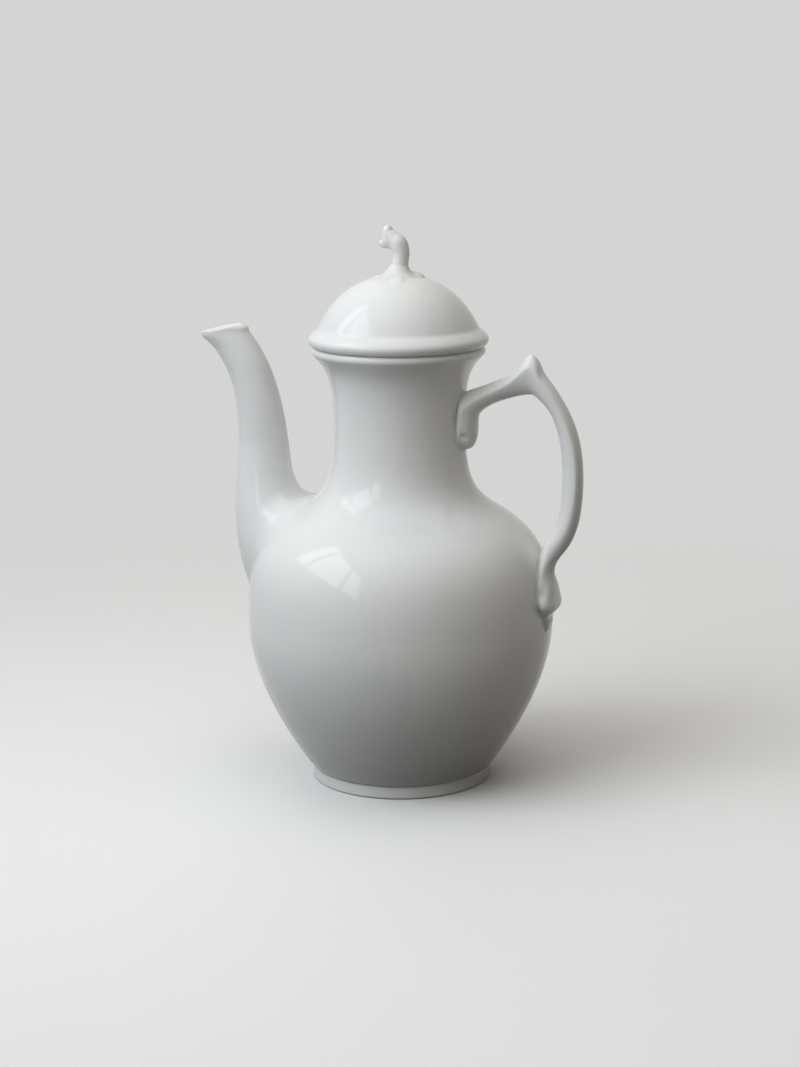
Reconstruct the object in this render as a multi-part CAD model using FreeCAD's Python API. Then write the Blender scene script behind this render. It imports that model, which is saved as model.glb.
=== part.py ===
import FreeCAD, Part
import math
import os

# Porcelain coffee pot with a lift-off lid, in millimetres.
# The origin is the centre of the foot ring's resting plane, +Z is up,
# the handle stands on +X and the spout on -X.

# Foot ring
FOOT_RADIUS = 41.0
FOOT_HEIGHT = 6.2
FOOT_RING_WIDTH = 5.5
FOOT_EDGE_ROUND = 0.9

# Body outline: radius, height or rise above the place below, and lean of the wall at each place that shapes it
FOOT_STEP = 0.5
FOOT_ANGLE = 54.5
BELLY_RADIUS = 69.0
BELLY_HEIGHT = 74.0
SHOULDER_RADIUS = 46.0
SHOULDER_RISE = 49.4
SHOULDER_ANGLE = 148.0
NECK_RADIUS = 29.6
NECK_RISE = 39.6
LIP_RADIUS = 38.2
LIP_ANGLE = 48.0
LIP_ROUND = 2.2
RIM_RISE = 34.6
SHOULDER_HEIGHT = BELLY_HEIGHT + SHOULDER_RISE
NECK_HEIGHT = SHOULDER_HEIGHT + NECK_RISE
RIM_HEIGHT = NECK_HEIGHT + RIM_RISE

# Body outline: how far each curve runs straight before it turns
FOOT_RUN = 22.9
BELLY_RUN_BELOW = 24.5
BELLY_RUN_ABOVE = 29.0
SHOULDER_RUN_BELOW = 19.5
SHOULDER_RUN_ABOVE = 15.0
NECK_RUN_BELOW = 25.5
NECK_RUN_ABOVE = 23.0
LIP_RUN = 8.0

# Body walls
BODY_WALL = 3.6
FLOOR_THICKNESS = 4.0
POUR_HOLE_RADIUS = 9.0
POUR_HOLE_HEIGHT = BELLY_HEIGHT + 32.0

# Spout: reach of its front and back edges from the pot's axis, heights, and half widths across
SPOUT_TIP_REACH = 94.8
SPOUT_TIP_HEIGHT = RIM_HEIGHT + 3.4
SPOUT_TIP_ANGLE = 38.0
SPOUT_BACK_REACH = 73.2
SPOUT_BACK_HEIGHT = RIM_HEIGHT + 7.9
SPOUT_BACK_ANGLE = 50.0
SPOUT_MOUTH_RUN = 19.0
SPOUT_MOUTH_HALF_WIDTH = 8.2
SPOUT_LIP = 2.6
SPOUT_THROAT_REACH = 65.4
SPOUT_THROAT_HEIGHT = NECK_HEIGHT - 9.0
SPOUT_THROAT_DEPTH = 22.8
SPOUT_THROAT_HALF_WIDTH = 10.6
SPOUT_THROAT_BACK_ANGLE = 82.0
SPOUT_THROAT_RUN = 19.5
SPOUT_CROTCH_RUN = 15.0
SPOUT_ROOT_BOTTOM = BELLY_HEIGHT + 3.0
SPOUT_ROOT_ANGLE = 60.0
SPOUT_ROOT_RUN = 34.0
SPOUT_ROOT_TOP = SHOULDER_HEIGHT + 1.8
SPOUT_ROOT_TOP_ANGLE = 15.0
SPOUT_ROOT_DEPTH = 6.0
SPOUT_ROOT_HALF_WIDTH = 26.0
SPOUT_FLARE = 1.4
SPOUT_WALL = 2.8

# Handle: the pad on the neck and the arm that climbs from it
PAD_PROUD = 7.1
PAD_FOOT_PROUD = 1.2
PAD_BOTTOM = NECK_HEIGHT - 10.8
PAD_TOP = NECK_HEIGHT + 3.0
PAD_RUN = 8.0
PAD_HALF_WIDTH = 6.8
PAD_FOOT_HALF_WIDTH = 4.2
PAD_ROOT_DEPTH = 6.0
ARM_ROOT_HEIGHT = NECK_HEIGHT + 13.5
ARM_ROOT_ANGLE = 36.0
ARM_TURN_RUN = 5.5
ARM_RUN = 11.0
ARM_RIDGE_SHIFT = 0.3
HANDLE_HALF_WIDTH = 5.2

# Handle: the thumb spur, the grip and its knee
SPUR_REACH = 61.0
SPUR_HEIGHT = RIM_HEIGHT - 2.0
SPUR_DEPTH = 17.6
SPUR_STEP = 1.6
SPUR_DROP = 0.9
SPUR_BACK_ANGLE = 57.0
SPUR_FRONT_ANGLE = -58.0
SPUR_FRONT_RUN = 16.0
CORNER_SHIFT = -0.6
CORNER_BACK_ANGLE = 10.0
CORNER_FRONT_ANGLE = -40.0
CORNER_RUN = 8.0
HANDLE_REACH = 84.9
GRIP_HEIGHT = NECK_HEIGHT - 21.5
GRIP_DEPTH = 10.0
GRIP_RUN_ABOVE = 30.0
GAP_RUN_ABOVE = 17.0
GRIP_RUN_BELOW = 18.0
GRIP_RIDGE_SHIFT = 0.45
KNEE_INSET = 9.0
KNEE_HEIGHT = BELLY_HEIGHT + 33.3
KNEE_ANGLE = 49.0
KNEE_RUN = 9.0

# Handle: the scroll on the belly and the drop below it
WAIST_HEIGHT = BELLY_HEIGHT + 25.6
WAIST_PROUD = 5.9
BULB_TOP_HEIGHT = BELLY_HEIGHT + 19.5
BULB_TOP_PROUD = 6.0
BULB_TOP_HALF_WIDTH = 6.9
BULB_HEIGHT = BELLY_HEIGHT + 13.5
BULB_PROUD = 6.5
BULB_HALF_WIDTH = 8.4
BULB_END_HEIGHT = BELLY_HEIGHT + 8.6
BULB_END_PROUD = 5.2
BULB_END_HALF_WIDTH = 7.2
BULB_FOOT_HEIGHT = BELLY_HEIGHT + 5.4
BULB_FOOT_PROUD = 2.3
BULB_FOOT_HALF_WIDTH = 4.0
DROP_LENGTH = 9.5
DROP_OVERLAP = 1.5
DROP_HALF_WIDTH = 2.8
DROP_PROUD = 2.4
SCROLL_ROOT_DEPTH = 4.6
SCROLL_RIDGE_SHIFT = 0.15

# How deep the luted pieces reach into the wall before they are cut to it
LUTE_DEPTH = 2.0

# Lid
SEAT_RADIUS = 36.9
BEAD_RADIUS = 40.1
BEAD_RISE = 2.7
OGEE_RADIUS = 38.2
OGEE_RISE = 5.9
OGEE_ANGLE = 136.0
DOME_RADIUS = 35.3
DOME_RISE = 8.8
DOME_ANGLE = 116.0
DOME_FOOT_RUN = 4.0
CROWN_RISE = 31.5
CROWN_RUN = 24.9
LID_WALL = 3.2
COLLAR_DEPTH = 11.0
COLLAR_WALL = 3.0
COLLAR_CLEARANCE = 0.8

# Twig finial: a bowed stalk that bends over into one bud and carries another on top
TWIG_HEIGHT = 21.3
TWIG_RADIUS = 3.6
TWIG_BOW = 3.6
TWIG_BEND_HEIGHT = 17.2
TWIG_ROOT_RADIUS = 7.0
TWIG_ROOT_SHARE = 0.36
TWIG_ROOT_SHIFT = 1.0
BUD_REACH = 8.4
BUD_HEIGHT = 13.4
BUD_RADIUS = 2.0
TOP_BUD_REACH = 4.2
TOP_BUD_RADIUS = 1.8
BRANCH_SHARE = 0.68
BRANCH_ANGLE = 110.0
TOP_BUD_ANGLE = 75.0

# Leaves round the twig's root
LEAF_THICKNESS = 1.0
LEAF_ROOT_REACH = 4.0
LEAF_WIDTH_SHARE = 0.33
LEAF_WIDEST_SHARE = 0.55
LONG_LEAF = 17.5
SHORT_LEAF = 12.5
LEAF_TURN_ANGLE = 18.5

# Share of a short curve that runs straight at each end before it turns
BLEND_SHARE = 0.36

# How round a section is at an end or a flank: a true ellipse, a soft ridge, and a beak
ROUND = 0.55
RIDGED = 0.3
BEAKED = 0.12

# Sections along each run of the spout, the handle and the twig
SPOUT_STEPS = 4
HANDLE_STEPS = 4
GRIP_STEPS = 7
TWIG_STEPS = 7
BUD_STEPS = 4

# How far a cut runs past the face that it opens
OVERCUT = 5.0


def at(x, z, y=0.0):
    """Point of the side view, with the distance across it last."""
    return FreeCAD.Vector(x, y, z)


def along(lean, run):
    """Step of a given length at an angle above +X in the side view."""
    angle = math.radians(lean)
    return at(run * math.cos(angle), run * math.sin(angle))


def bezier(points):
    """Cubic given by its control points."""
    curve = Part.BezierCurve()
    curve.setPoles(points)
    return curve


def bezier_edge(points):
    """Edge along a cubic given by its control points."""
    return bezier(points).toShape()


def line_edges(*points):
    """Straight edges through a row of points."""
    return [Part.LineSegment(start, end).toShape() for start, end in zip(points, points[1:])]


def arc_edge(start, middle, end):
    """Arc through three points."""
    return Part.Arc(start, middle, end).toShape()


def blend(start, start_lean, end, end_lean):
    """Control points of a cubic that leaves and arrives at given leans."""
    run = (end - start).Length * BLEND_SHARE
    return [start, start + along(start_lean, run), end - along(end_lean, run), end]


def crossing(start_a, direction_a, start_b, direction_b):
    """Point where two lines of the side view cross."""
    across = direction_a.x * direction_b.z - direction_a.z * direction_b.x
    gap = start_b - start_a
    return start_a + direction_a * ((gap.x * direction_b.z - gap.z * direction_b.x) / across)


def offset_bezier(points, distance):
    """Control points of a cubic moved to the left of its direction."""
    legs = []
    for start, end in zip(points, points[1:]):
        direction = (end - start).normalize()
        normal = at(-direction.z, direction.x)
        legs.append((start + normal * distance, direction, end + normal * distance))
    (first, way_1, _), (second, way_2, _), (third, way_3, last) = legs
    return [first, crossing(first, way_1, second, way_2), crossing(second, way_2, third, way_3), last]


def revolve(edges):
    """Solid turned about the pot's axis from a closed outline of the side view."""
    face = Part.Face(Part.Wire(Part.__sortEdges__(edges)))
    return face.revolve(at(0, 0), FreeCAD.Vector(0, 0, 1), 360)


def section(near, far, half_width, near_round=ROUND, ridge_round=ROUND, far_round=ROUND, shift=0.0):
    """Control points of the four quarters of a closed section between two points of the side view.

    The flanks lie half way between the two points, or shifted from there towards the far one.
    """
    middle = (near + far) * 0.5
    reach = (far - near) * 0.5
    quarters = []
    for end, side in ((-1, 1), (1, 1), (1, -1), (-1, -1)):
        across = at(0, 0, half_width * side)
        tip = middle + reach * end
        tip_round = near_round if end < 0 else far_round
        flank = middle + across + reach * shift
        points = [tip, tip + across * tip_round, flank + reach * ((end - shift) * ridge_round), flank]
        quarters.append(points if end * side < 0 else points[::-1])
    return quarters


def spacing(sections):
    """Parameter of each section, by how far its four corners are from those of the one before."""
    marks = [0.0]
    for last, this in zip(sections, sections[1:]):
        gaps = [(here[0] - there[0]).Length for here, there in zip(this, last)]
        marks.append(marks[-1] + sum(gaps))
    return [mark / marks[-1] for mark in marks]


def skin(sections):
    """Smooth solid through a row of sections: one surface for each quarter, closed by flat ends."""
    marks = spacing(sections)
    faces = []
    for quarter in zip(*sections):
        lines = []
        for row in zip(*quarter):
            line = Part.BSplineCurve()
            line.interpolate(Points=list(row), Parameters=marks)
            lines.append(line)
        poles = [list(column) for column in zip(*[line.getPoles() for line in lines])]
        surface = Part.BSplineSurface()
        counts, knots, degree = lines[0].getMultiplicities(), lines[0].getKnots(), lines[0].Degree
        surface.buildFromPolesMultsKnots(poles, counts, (4, 4), knots, (0.0, 1.0), False, False, degree, 3)
        faces.append(surface.toShape())
    for end in (sections[0], sections[-1]):
        faces.append(Part.Face(Part.Wire([bezier_edge(points) for points in end])))
    shell = Part.Shell(faces)
    shell.sewShape()
    solid = Part.Solid(shell)
    if solid.Volume < 0:
        solid.reverse()
    return solid


def pairs(first_points, second_points, shares):
    """Pairs of points at like shares along two cubics."""
    first, second = bezier(first_points), bezier(second_points)
    return [(first.value(share), second.value(share)) for share in shares]


def steps(count):
    """Even shares of a run, without its end."""
    return [place / count for place in range(count)]


def mix(start, end, share):
    """Value part of the way from one to another."""
    return start + (end - start) * share


def tube_section(centre, lean, radius):
    """Round section square to a path that leans by an angle above +X."""
    side = along(lean - 90, radius)
    return section(centre - side, centre + side, radius)


def body_curves():
    """Control points of the four curves of the outer wall, from the foot to the lip."""
    up = at(0, 1)
    foot = at(FOOT_RADIUS + FOOT_STEP, FOOT_HEIGHT)
    belly = at(BELLY_RADIUS, BELLY_HEIGHT)
    shoulder = at(SHOULDER_RADIUS, SHOULDER_HEIGHT)
    neck = at(NECK_RADIUS, NECK_HEIGHT)
    lip = at(LIP_RADIUS, RIM_HEIGHT - LIP_ROUND * (1 + math.cos(math.radians(LIP_ANGLE))))
    below_shoulder = shoulder - along(SHOULDER_ANGLE, SHOULDER_RUN_BELOW)
    above_shoulder = shoulder + along(SHOULDER_ANGLE, SHOULDER_RUN_ABOVE)
    return [
        [foot, foot + along(FOOT_ANGLE, FOOT_RUN), belly - up * BELLY_RUN_BELOW, belly],
        [belly, belly + up * BELLY_RUN_ABOVE, below_shoulder, shoulder],
        [shoulder, above_shoulder, neck - up * NECK_RUN_BELOW, neck],
        [neck, neck + up * NECK_RUN_ABOVE, lip - along(LIP_ANGLE, LIP_RUN), lip],
    ]


def radius_at(curves, height):
    """Radius of a rising row of curves at a height."""
    level = Part.Plane(at(0, height), FreeCAD.Vector(0, 0, 1))
    for points in curves:
        if points[0].z <= height <= points[3].z:
            curve = Part.BezierCurve()
            curve.setPoles(points)
            return curve.intersectCS(level)[0][0].X
    raise ValueError("no wall at height %.1f" % height)


def wall_radius(height):
    """Outer radius of the body at a height."""
    return radius_at(body_curves(), height)


def outer_body():
    """The body's outside as one solid, which the luted pieces are cut to fit."""
    curves = body_curves()
    lip = curves[-1][3]
    lip_centre = lip + along(LIP_ANGLE + 90, LIP_ROUND)
    flat = lip_centre + at(0, LIP_ROUND)
    edges = [bezier_edge(points) for points in curves]
    edges.append(arc_edge(lip, lip_centre + along(LIP_ANGLE / 2, LIP_ROUND), flat))
    edges += line_edges(flat, at(0, RIM_HEIGHT), at(0, FOOT_HEIGHT), curves[0][0])
    return revolve(edges)


def inner_curves():
    """Control points of the inner wall, from the floor's edge to the mouth."""
    return [offset_bezier(points, BODY_WALL) for points in body_curves()]


def body_hollow():
    """The inside of the body above its floor, open past the rim."""
    curves = inner_curves()
    start, mouth = curves[0][0], curves[-1][3]
    above = mouth + at(0, OVERCUT)
    edges = [bezier_edge(points) for points in curves]
    edges += line_edges(mouth, above, at(0, above.z), at(0, start.z), start)
    floor = Part.makeCylinder(BELLY_RADIUS, FOOT_HEIGHT + FLOOR_THICKNESS)
    return revolve(edges).cut(floor)


def pour_hole():
    """Round hole through the wall into the spout's root, square to the axis of the root."""
    wall = at(-wall_radius(POUR_HOLE_HEIGHT), POUR_HOLE_HEIGHT)
    outward = along(SHOULDER_ANGLE, 1)
    length = 2 * BODY_WALL + 2 * POUR_HOLE_RADIUS
    return Part.makeCylinder(POUR_HOLE_RADIUS, length, wall - outward * (length / 2), outward)


def foot_ring():
    """Upright ring under the floor, with rounded edges where it stands."""
    inner = FOOT_RADIUS - FOOT_RING_WIDTH
    corner = FOOT_EDGE_ROUND
    diagonal = corner * (1 - math.sqrt(0.5))
    outer_side, outer_sole = at(FOOT_RADIUS, corner), at(FOOT_RADIUS - corner, 0)
    inner_side, inner_sole = at(inner, corner), at(inner + corner, 0)
    edges = [
        arc_edge(outer_side, at(FOOT_RADIUS - diagonal, diagonal), outer_sole),
        arc_edge(inner_sole, at(inner + diagonal, diagonal), inner_side),
    ]
    edges += line_edges(outer_sole, inner_sole)
    edges += line_edges(inner_side, at(inner, FOOT_HEIGHT), at(FOOT_RADIUS, FOOT_HEIGHT), outer_side)
    return revolve(edges)


def wall_point(height, proud):
    """Point of the handle's side that stands proud of the body's wall at a height."""
    return at(wall_radius(height) + proud, height)


def mouth_ends():
    """Tip and back of the spout's mouth."""
    return at(SPOUT_TIP_REACH, SPOUT_TIP_HEIGHT), at(SPOUT_BACK_REACH, SPOUT_BACK_HEIGHT)


def lip_rise():
    """Step through the upright lip, square to the mouth."""
    tip, back = mouth_ends()
    across = (back - tip).normalize()
    return at(across.z, -across.x) * SPOUT_LIP


def spout_runs():
    """Back and front edges of the spout: from inside the belly to the throat, and on to the lip."""
    half_depth = SPOUT_THROAT_DEPTH / 2
    up = at(0, SPOUT_THROAT_RUN)
    root_front = wall_point(SPOUT_ROOT_BOTTOM, -LUTE_DEPTH)
    root_back = wall_point(SPOUT_ROOT_TOP, -SPOUT_ROOT_DEPTH)
    throat_front = at(SPOUT_THROAT_REACH + half_depth, SPOUT_THROAT_HEIGHT)
    throat_back = at(SPOUT_THROAT_REACH - half_depth, SPOUT_THROAT_HEIGHT)
    below_throat = throat_back - along(SPOUT_THROAT_BACK_ANGLE, SPOUT_CROTCH_RUN)
    above_throat = throat_back + along(SPOUT_THROAT_BACK_ANGLE, SPOUT_THROAT_RUN)
    tip, back = [end - lip_rise() for end in mouth_ends()]
    out_of_root = root_front + along(SPOUT_ROOT_ANGLE, SPOUT_ROOT_RUN)
    into_crotch = root_back + along(SPOUT_ROOT_TOP_ANGLE, SPOUT_CROTCH_RUN)
    under_tip = tip - along(SPOUT_TIP_ANGLE, SPOUT_MOUTH_RUN)
    under_back = back - along(SPOUT_BACK_ANGLE, SPOUT_MOUTH_RUN)
    lower_front = [root_front, out_of_root, throat_front - up, throat_front]
    lower_back = [root_back, into_crotch, below_throat, throat_back]
    upper_front = [throat_front, throat_front + up, under_tip, tip]
    upper_back = [throat_back, above_throat, under_back, back]
    return (lower_back, lower_front), (upper_back, upper_front)


def spout_stations():
    """Back, front, half width and roundness of the front of each section, from the root to the mouth."""
    lower, upper = spout_runs()
    stations = []
    shares = steps(SPOUT_STEPS)
    for share, (back, front) in zip(shares, pairs(*lower, shares)):
        half_width = mix(SPOUT_THROAT_HALF_WIDTH, SPOUT_ROOT_HALF_WIDTH, (1 - share) ** SPOUT_FLARE)
        stations.append((back, front, half_width, ROUND))
    shares = shares + [1.0]
    for share, (back, front) in zip(shares, pairs(*upper, shares)):
        half_width = mix(SPOUT_THROAT_HALF_WIDTH, SPOUT_MOUTH_HALF_WIDTH, share)
        stations.append((back, front, half_width, mix(ROUND, BEAKED, share ** 2)))
    tip, back = mouth_ends()
    stations.append((back, tip, SPOUT_MOUTH_HALF_WIDTH, BEAKED))
    return stations


def spout_skin(wall, past_mouth):
    """Spout as a solid on -X, drawn in by a wall's thickness and carried on past its mouth."""
    sections = []
    for back, front, half_width, beak in spout_stations():
        inset = (front - back).normalize() * wall
        sections.append(section(back + inset, front - inset, half_width - wall, far_round=beak))
    if past_mouth:
        lift = lip_rise().normalize() * past_mouth
        sections.append([[point + lift for point in points] for points in sections[-1]])
    solid = skin(sections)
    solid.rotate(at(0, 0), FreeCAD.Vector(0, 0, 1), 180)
    return solid


def spur_places():
    """Tip of the spur, and the points a step behind and before it on its ridge."""
    tip = at(SPUR_REACH, SPUR_HEIGHT)
    return tip - at(SPUR_STEP, SPUR_DROP), tip, tip + at(SPUR_STEP, -SPUR_DROP)


def corner_places():
    """Corner of the finger gap under the spur, and the points half a step behind and before it."""
    corner = at(SPUR_REACH + CORNER_SHIFT, SPUR_HEIGHT - SPUR_DEPTH)
    half_step = at(SPUR_STEP / 2, 0)
    return corner - half_step, corner, corner + half_step


def pad_stations():
    """Sections of the pad on the neck, from its narrow foot to the arm."""
    foot = wall_point(PAD_BOTTOM, PAD_FOOT_PROUD)
    top = wall_point(PAD_TOP, PAD_PROUD)
    foot_wall = wall_point(PAD_BOTTOM, -PAD_ROOT_DEPTH)
    root = wall_point(ARM_ROOT_HEIGHT, -LUTE_DEPTH)
    gap = [foot, foot + at(PAD_PROUD - PAD_FOOT_PROUD, 0), top - at(0, PAD_RUN), top]
    wall = [foot_wall, foot_wall + at(0, PAD_RUN), root - at(0, PAD_RUN), root]
    stations = []
    shares = steps(HANDLE_STEPS)
    for share, ends in zip(shares, pairs(gap, wall, shares)):
        swell = math.sin(0.5 * math.pi * share)
        stations.append((*ends, mix(PAD_FOOT_HALF_WIDTH, PAD_HALF_WIDTH, swell), ROUND, 0.0))
    return stations


def arm_stations():
    """Sections of the arm that climbs from the pad to the spur."""
    top = wall_point(PAD_TOP, PAD_PROUD)
    root = wall_point(ARM_ROOT_HEIGHT, -LUTE_DEPTH)
    corner = corner_places()[0]
    spur = spur_places()[0]
    gap = [top, top + at(0, ARM_TURN_RUN), corner - along(CORNER_BACK_ANGLE, ARM_RUN), corner]
    ridge = [root, root + along(ARM_ROOT_ANGLE, ARM_RUN), spur - along(SPUR_BACK_ANGLE, ARM_RUN), spur]
    stations = []
    shares = steps(HANDLE_STEPS)
    for share, ends in zip(shares, pairs(gap, ridge, shares)):
        half_width = mix(PAD_HALF_WIDTH, HANDLE_HALF_WIDTH, share)
        stations.append((*ends, half_width, RIDGED, ARM_RIDGE_SHIFT * share))
    return stations


def spur_stations():
    """Thin-edged sections across the spur, behind its tip and at it."""
    ends = list(zip(corner_places(), spur_places()))
    return [(*end, HANDLE_HALF_WIDTH, BEAKED, ARM_RIDGE_SHIFT) for end in ends[:2]]


def knee_ends():
    """Gap side and outer side of the handle at its knee."""
    knee = at(HANDLE_REACH - KNEE_INSET, KNEE_HEIGHT)
    return knee + along(KNEE_ANGLE + 90, GRIP_DEPTH), knee


def grip_stations():
    """Sections from the front of the spur down the grip to the knee."""
    corner = corner_places()[2]
    spur = spur_places()[2]
    widest = at(HANDLE_REACH, GRIP_HEIGHT)
    widest_gap = widest - at(GRIP_DEPTH, 0)
    knee = knee_ends()[1]
    front = spur + along(SPUR_FRONT_ANGLE, SPUR_FRONT_RUN)
    under = corner + along(CORNER_FRONT_ANGLE, CORNER_RUN)
    upper = [spur, front, widest + at(0, GRIP_RUN_ABOVE), widest]
    upper_gap = [corner, under, widest_gap + at(0, GAP_RUN_ABOVE), widest_gap]
    lower = [widest, widest - at(0, GRIP_RUN_BELOW), knee + along(KNEE_ANGLE, KNEE_RUN), knee]
    lower_gap = offset_bezier(lower, -GRIP_DEPTH)
    stations = []
    for share, ends in zip(steps(GRIP_STEPS), pairs(upper_gap, upper, steps(GRIP_STEPS))):
        shift = mix(ARM_RIDGE_SHIFT, GRIP_RIDGE_SHIFT, share)
        stations.append((*ends, HANDLE_HALF_WIDTH, RIDGED, shift))
    for ends in pairs(lower_gap, lower, steps(HANDLE_STEPS)):
        stations.append((*ends, HANDLE_HALF_WIDTH, RIDGED, GRIP_RIDGE_SHIFT))
    return stations


def scroll_stations():
    """Sections from the knee down: a waist, a bulb and its rounded end, all rooted in the belly."""
    stations = [(*knee_ends(), HANDLE_HALF_WIDTH, RIDGED, GRIP_RIDGE_SHIFT)]
    rows = (
        (WAIST_HEIGHT, WAIST_PROUD, HANDLE_HALF_WIDTH),
        (BULB_TOP_HEIGHT, BULB_TOP_PROUD, BULB_TOP_HALF_WIDTH),
        (BULB_HEIGHT, BULB_PROUD, BULB_HALF_WIDTH),
        (BULB_END_HEIGHT, BULB_END_PROUD, BULB_END_HALF_WIDTH),
        (BULB_FOOT_HEIGHT, BULB_FOOT_PROUD, BULB_FOOT_HALF_WIDTH),
    )
    for height, proud, half_width in rows:
        ends = wall_point(height, -SCROLL_ROOT_DEPTH), wall_point(height, proud)
        stations.append((*ends, half_width, RIDGED, SCROLL_RIDGE_SHIFT))
    return stations


def drop():
    """Small bead on the belly that runs up under the bulb's end."""
    bead = Part.makeSphere(1)
    stretch = FreeCAD.Matrix()
    stretch.scale(LUTE_DEPTH + DROP_PROUD, DROP_HALF_WIDTH, DROP_LENGTH / 2)
    bead = bead.transformGeometry(stretch)
    bead.translate(wall_point(BULB_FOOT_HEIGHT + DROP_OVERLAP - DROP_LENGTH / 2, -LUTE_DEPTH))
    return bead


def handle_skin():
    """The handle before it is cut to the body: one ridged skin and the drop below it."""
    upper = pad_stations() + arm_stations() + spur_stations()
    stations = upper + grip_stations() + scroll_stations()
    sections = []
    for gap, outer, half_width, edge, shift in stations:
        sections.append(section(gap, outer, half_width, ROUND, RIDGED, edge, shift))
    return skin(sections).fuse(drop())


def lid_curves():
    """Control points of the lid's outside, from its seat over the bead to the crown."""
    seat = at(SEAT_RADIUS, RIM_HEIGHT)
    bead = at(BEAD_RADIUS, RIM_HEIGHT + BEAD_RISE)
    ogee = at(OGEE_RADIUS, RIM_HEIGHT + OGEE_RISE)
    dome = at(DOME_RADIUS, RIM_HEIGHT + DOME_RISE)
    crown = at(0, RIM_HEIGHT + CROWN_RISE)
    return [
        blend(seat, 0, bead, 90),
        blend(bead, 90, ogee, OGEE_ANGLE),
        blend(ogee, OGEE_ANGLE, dome, DOME_ANGLE),
        [dome, dome + along(DOME_ANGLE, DOME_FOOT_RUN), crown + at(CROWN_RUN, 0), crown],
    ]


def outer_lid():
    """The lid's outside above the rim as one solid."""
    curves = lid_curves()
    seat, crown = curves[0][0], curves[-1][3]
    edges = [bezier_edge(points) for points in curves]
    return revolve(edges + line_edges(crown, at(0, RIM_HEIGHT), seat))


def lid():
    """Hollow domed lid with a collar that drops into the mouth."""
    collar_bottom = RIM_HEIGHT - COLLAR_DEPTH
    collar_outer = radius_at(inner_curves(), collar_bottom) - COLLAR_CLEARANCE
    collar_inner = collar_outer - COLLAR_WALL
    under_dome = offset_bezier(lid_curves()[-1], LID_WALL)
    collar_top, collar_foot = at(collar_inner, RIM_HEIGHT + LID_WALL), at(collar_inner, collar_bottom)
    edges = [bezier_edge(under_dome)]
    edges += line_edges(under_dome[0], collar_top, collar_foot, at(0, collar_bottom), under_dome[3])
    hollow = revolve(edges)
    collar = Part.makeCylinder(collar_outer, COLLAR_DEPTH, at(0, collar_bottom))
    return outer_lid().fuse(collar).cut(hollow).removeSplitter()


def tube(points, radii):
    """Round solid along a cubic of the side view, with a row of radii at even shares of it."""
    path = bezier(points)
    last = len(radii) - 1
    sections = []
    for place, radius in enumerate(radii):
        way = path.tangent(place / last)[0]
        lean = math.degrees(math.atan2(way.z, way.x))
        sections.append(tube_section(path.value(place / last), lean, radius))
    return skin(sections)


def stalk_radius(share):
    """Radius of the twig along its length: a flared root, an even stalk, and a bud at its end."""
    flare = max(0.0, 1 - share / TWIG_ROOT_SHARE) ** 2
    return mix(TWIG_RADIUS, TWIG_ROOT_RADIUS, flare) + (BUD_RADIUS - TWIG_RADIUS) * share ** 2


def lid_finial():
    """Twig that bows, bends over and ends in two buds, before it is cut to the dome."""
    crown = at(0, RIM_HEIGHT + CROWN_RISE)
    root = crown - at(TWIG_ROOT_SHIFT, LID_WALL)
    bud = crown + at(-BUD_REACH, BUD_HEIGHT)
    stalk = [root, crown + at(TWIG_BOW, BUD_HEIGHT), crown + at(0, TWIG_BEND_HEIGHT), bud]
    branch = bezier(stalk).value(BRANCH_SHARE)
    top = crown + at(-TOP_BUD_REACH, TWIG_HEIGHT)
    bent = tube(stalk, [stalk_radius(share) for share in steps(TWIG_STEPS)] + [BUD_RADIUS])
    shares = steps(BUD_STEPS) + [1.0]
    upright = tube(
        blend(branch, BRANCH_ANGLE, top, TOP_BUD_ANGLE),
        [mix(TWIG_RADIUS, TOP_BUD_RADIUS, math.sqrt(share)) for share in shares],
    )
    return bent.fuse(upright)


def leaf(turn, length):
    """Thin pointed leaf that lies on the dome, its root under the twig."""
    half = LEAF_WIDTH_SHARE * (length - LEAF_ROOT_REACH)
    root, tip = at(LEAF_ROOT_REACH, 0), at(length, 0)
    widest = [at(mix(LEAF_ROOT_REACH, length, LEAF_WIDEST_SHARE), 0, side) for side in (half, -half)]
    sides = [arc_edge(root, middle, tip) for middle in widest]
    prism = Part.Face(Part.Wire(sides)).extrude(FreeCAD.Vector(0, 0, RIM_HEIGHT + CROWN_RISE + OVERCUT))
    prism.rotate(at(0, 0), FreeCAD.Vector(0, 0, 1), turn)
    skin = offset_bezier(lid_curves()[-1], -LEAF_THICKNESS)
    foot = at(0, skin[0].z)
    dome_skin = revolve([bezier_edge(skin)] + line_edges(skin[3], foot, skin[0]))
    return prism.common(dome_skin)


def pieces():
    """Every piece by its name, each cut to fit the piece that carries it."""
    body = outer_body()
    dome = outer_lid()
    finial = lid_finial()
    made = {
        "pot_body": body.cut(body_hollow()).cut(pour_hole()),
        "foot_ring": foot_ring(),
        "spout": spout_skin(0, 0).cut(body).cut(spout_skin(SPOUT_WALL, OVERCUT)),
        "handle": handle_skin().cut(body),
        "lid": lid(),
        "lid_finial": finial.cut(dome),
    }
    leaves = {"right": SHORT_LEAF, "back": LONG_LEAF, "left": SHORT_LEAF, "front": LONG_LEAF}
    for place, (name, length) in enumerate(leaves.items()):
        made["lid_leaf_" + name] = leaf(LEAF_TURN_ANGLE + 90 * place, length).cut(dome).cut(finial)
    return made


if __name__ == "__main__":
    os.makedirs("parts", exist_ok=True)
    for name, shape in pieces().items():
        print(name, shape.isValid(), len(shape.Solids), round(shape.Volume))
        shape.exportStep("parts/%s.step" % name)
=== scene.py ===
"""Porcelain coffee pot with a lift-off lid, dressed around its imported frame.

Sizes are in millimetres and heights are above the table; meshes are scaled to metres as they are made.
The handle stands on +X and the spout on -X.
"""

import logging
import math
from dataclasses import dataclass
from enum import Enum
from typing import Callable, ClassVar, Iterable, Sequence

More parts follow.
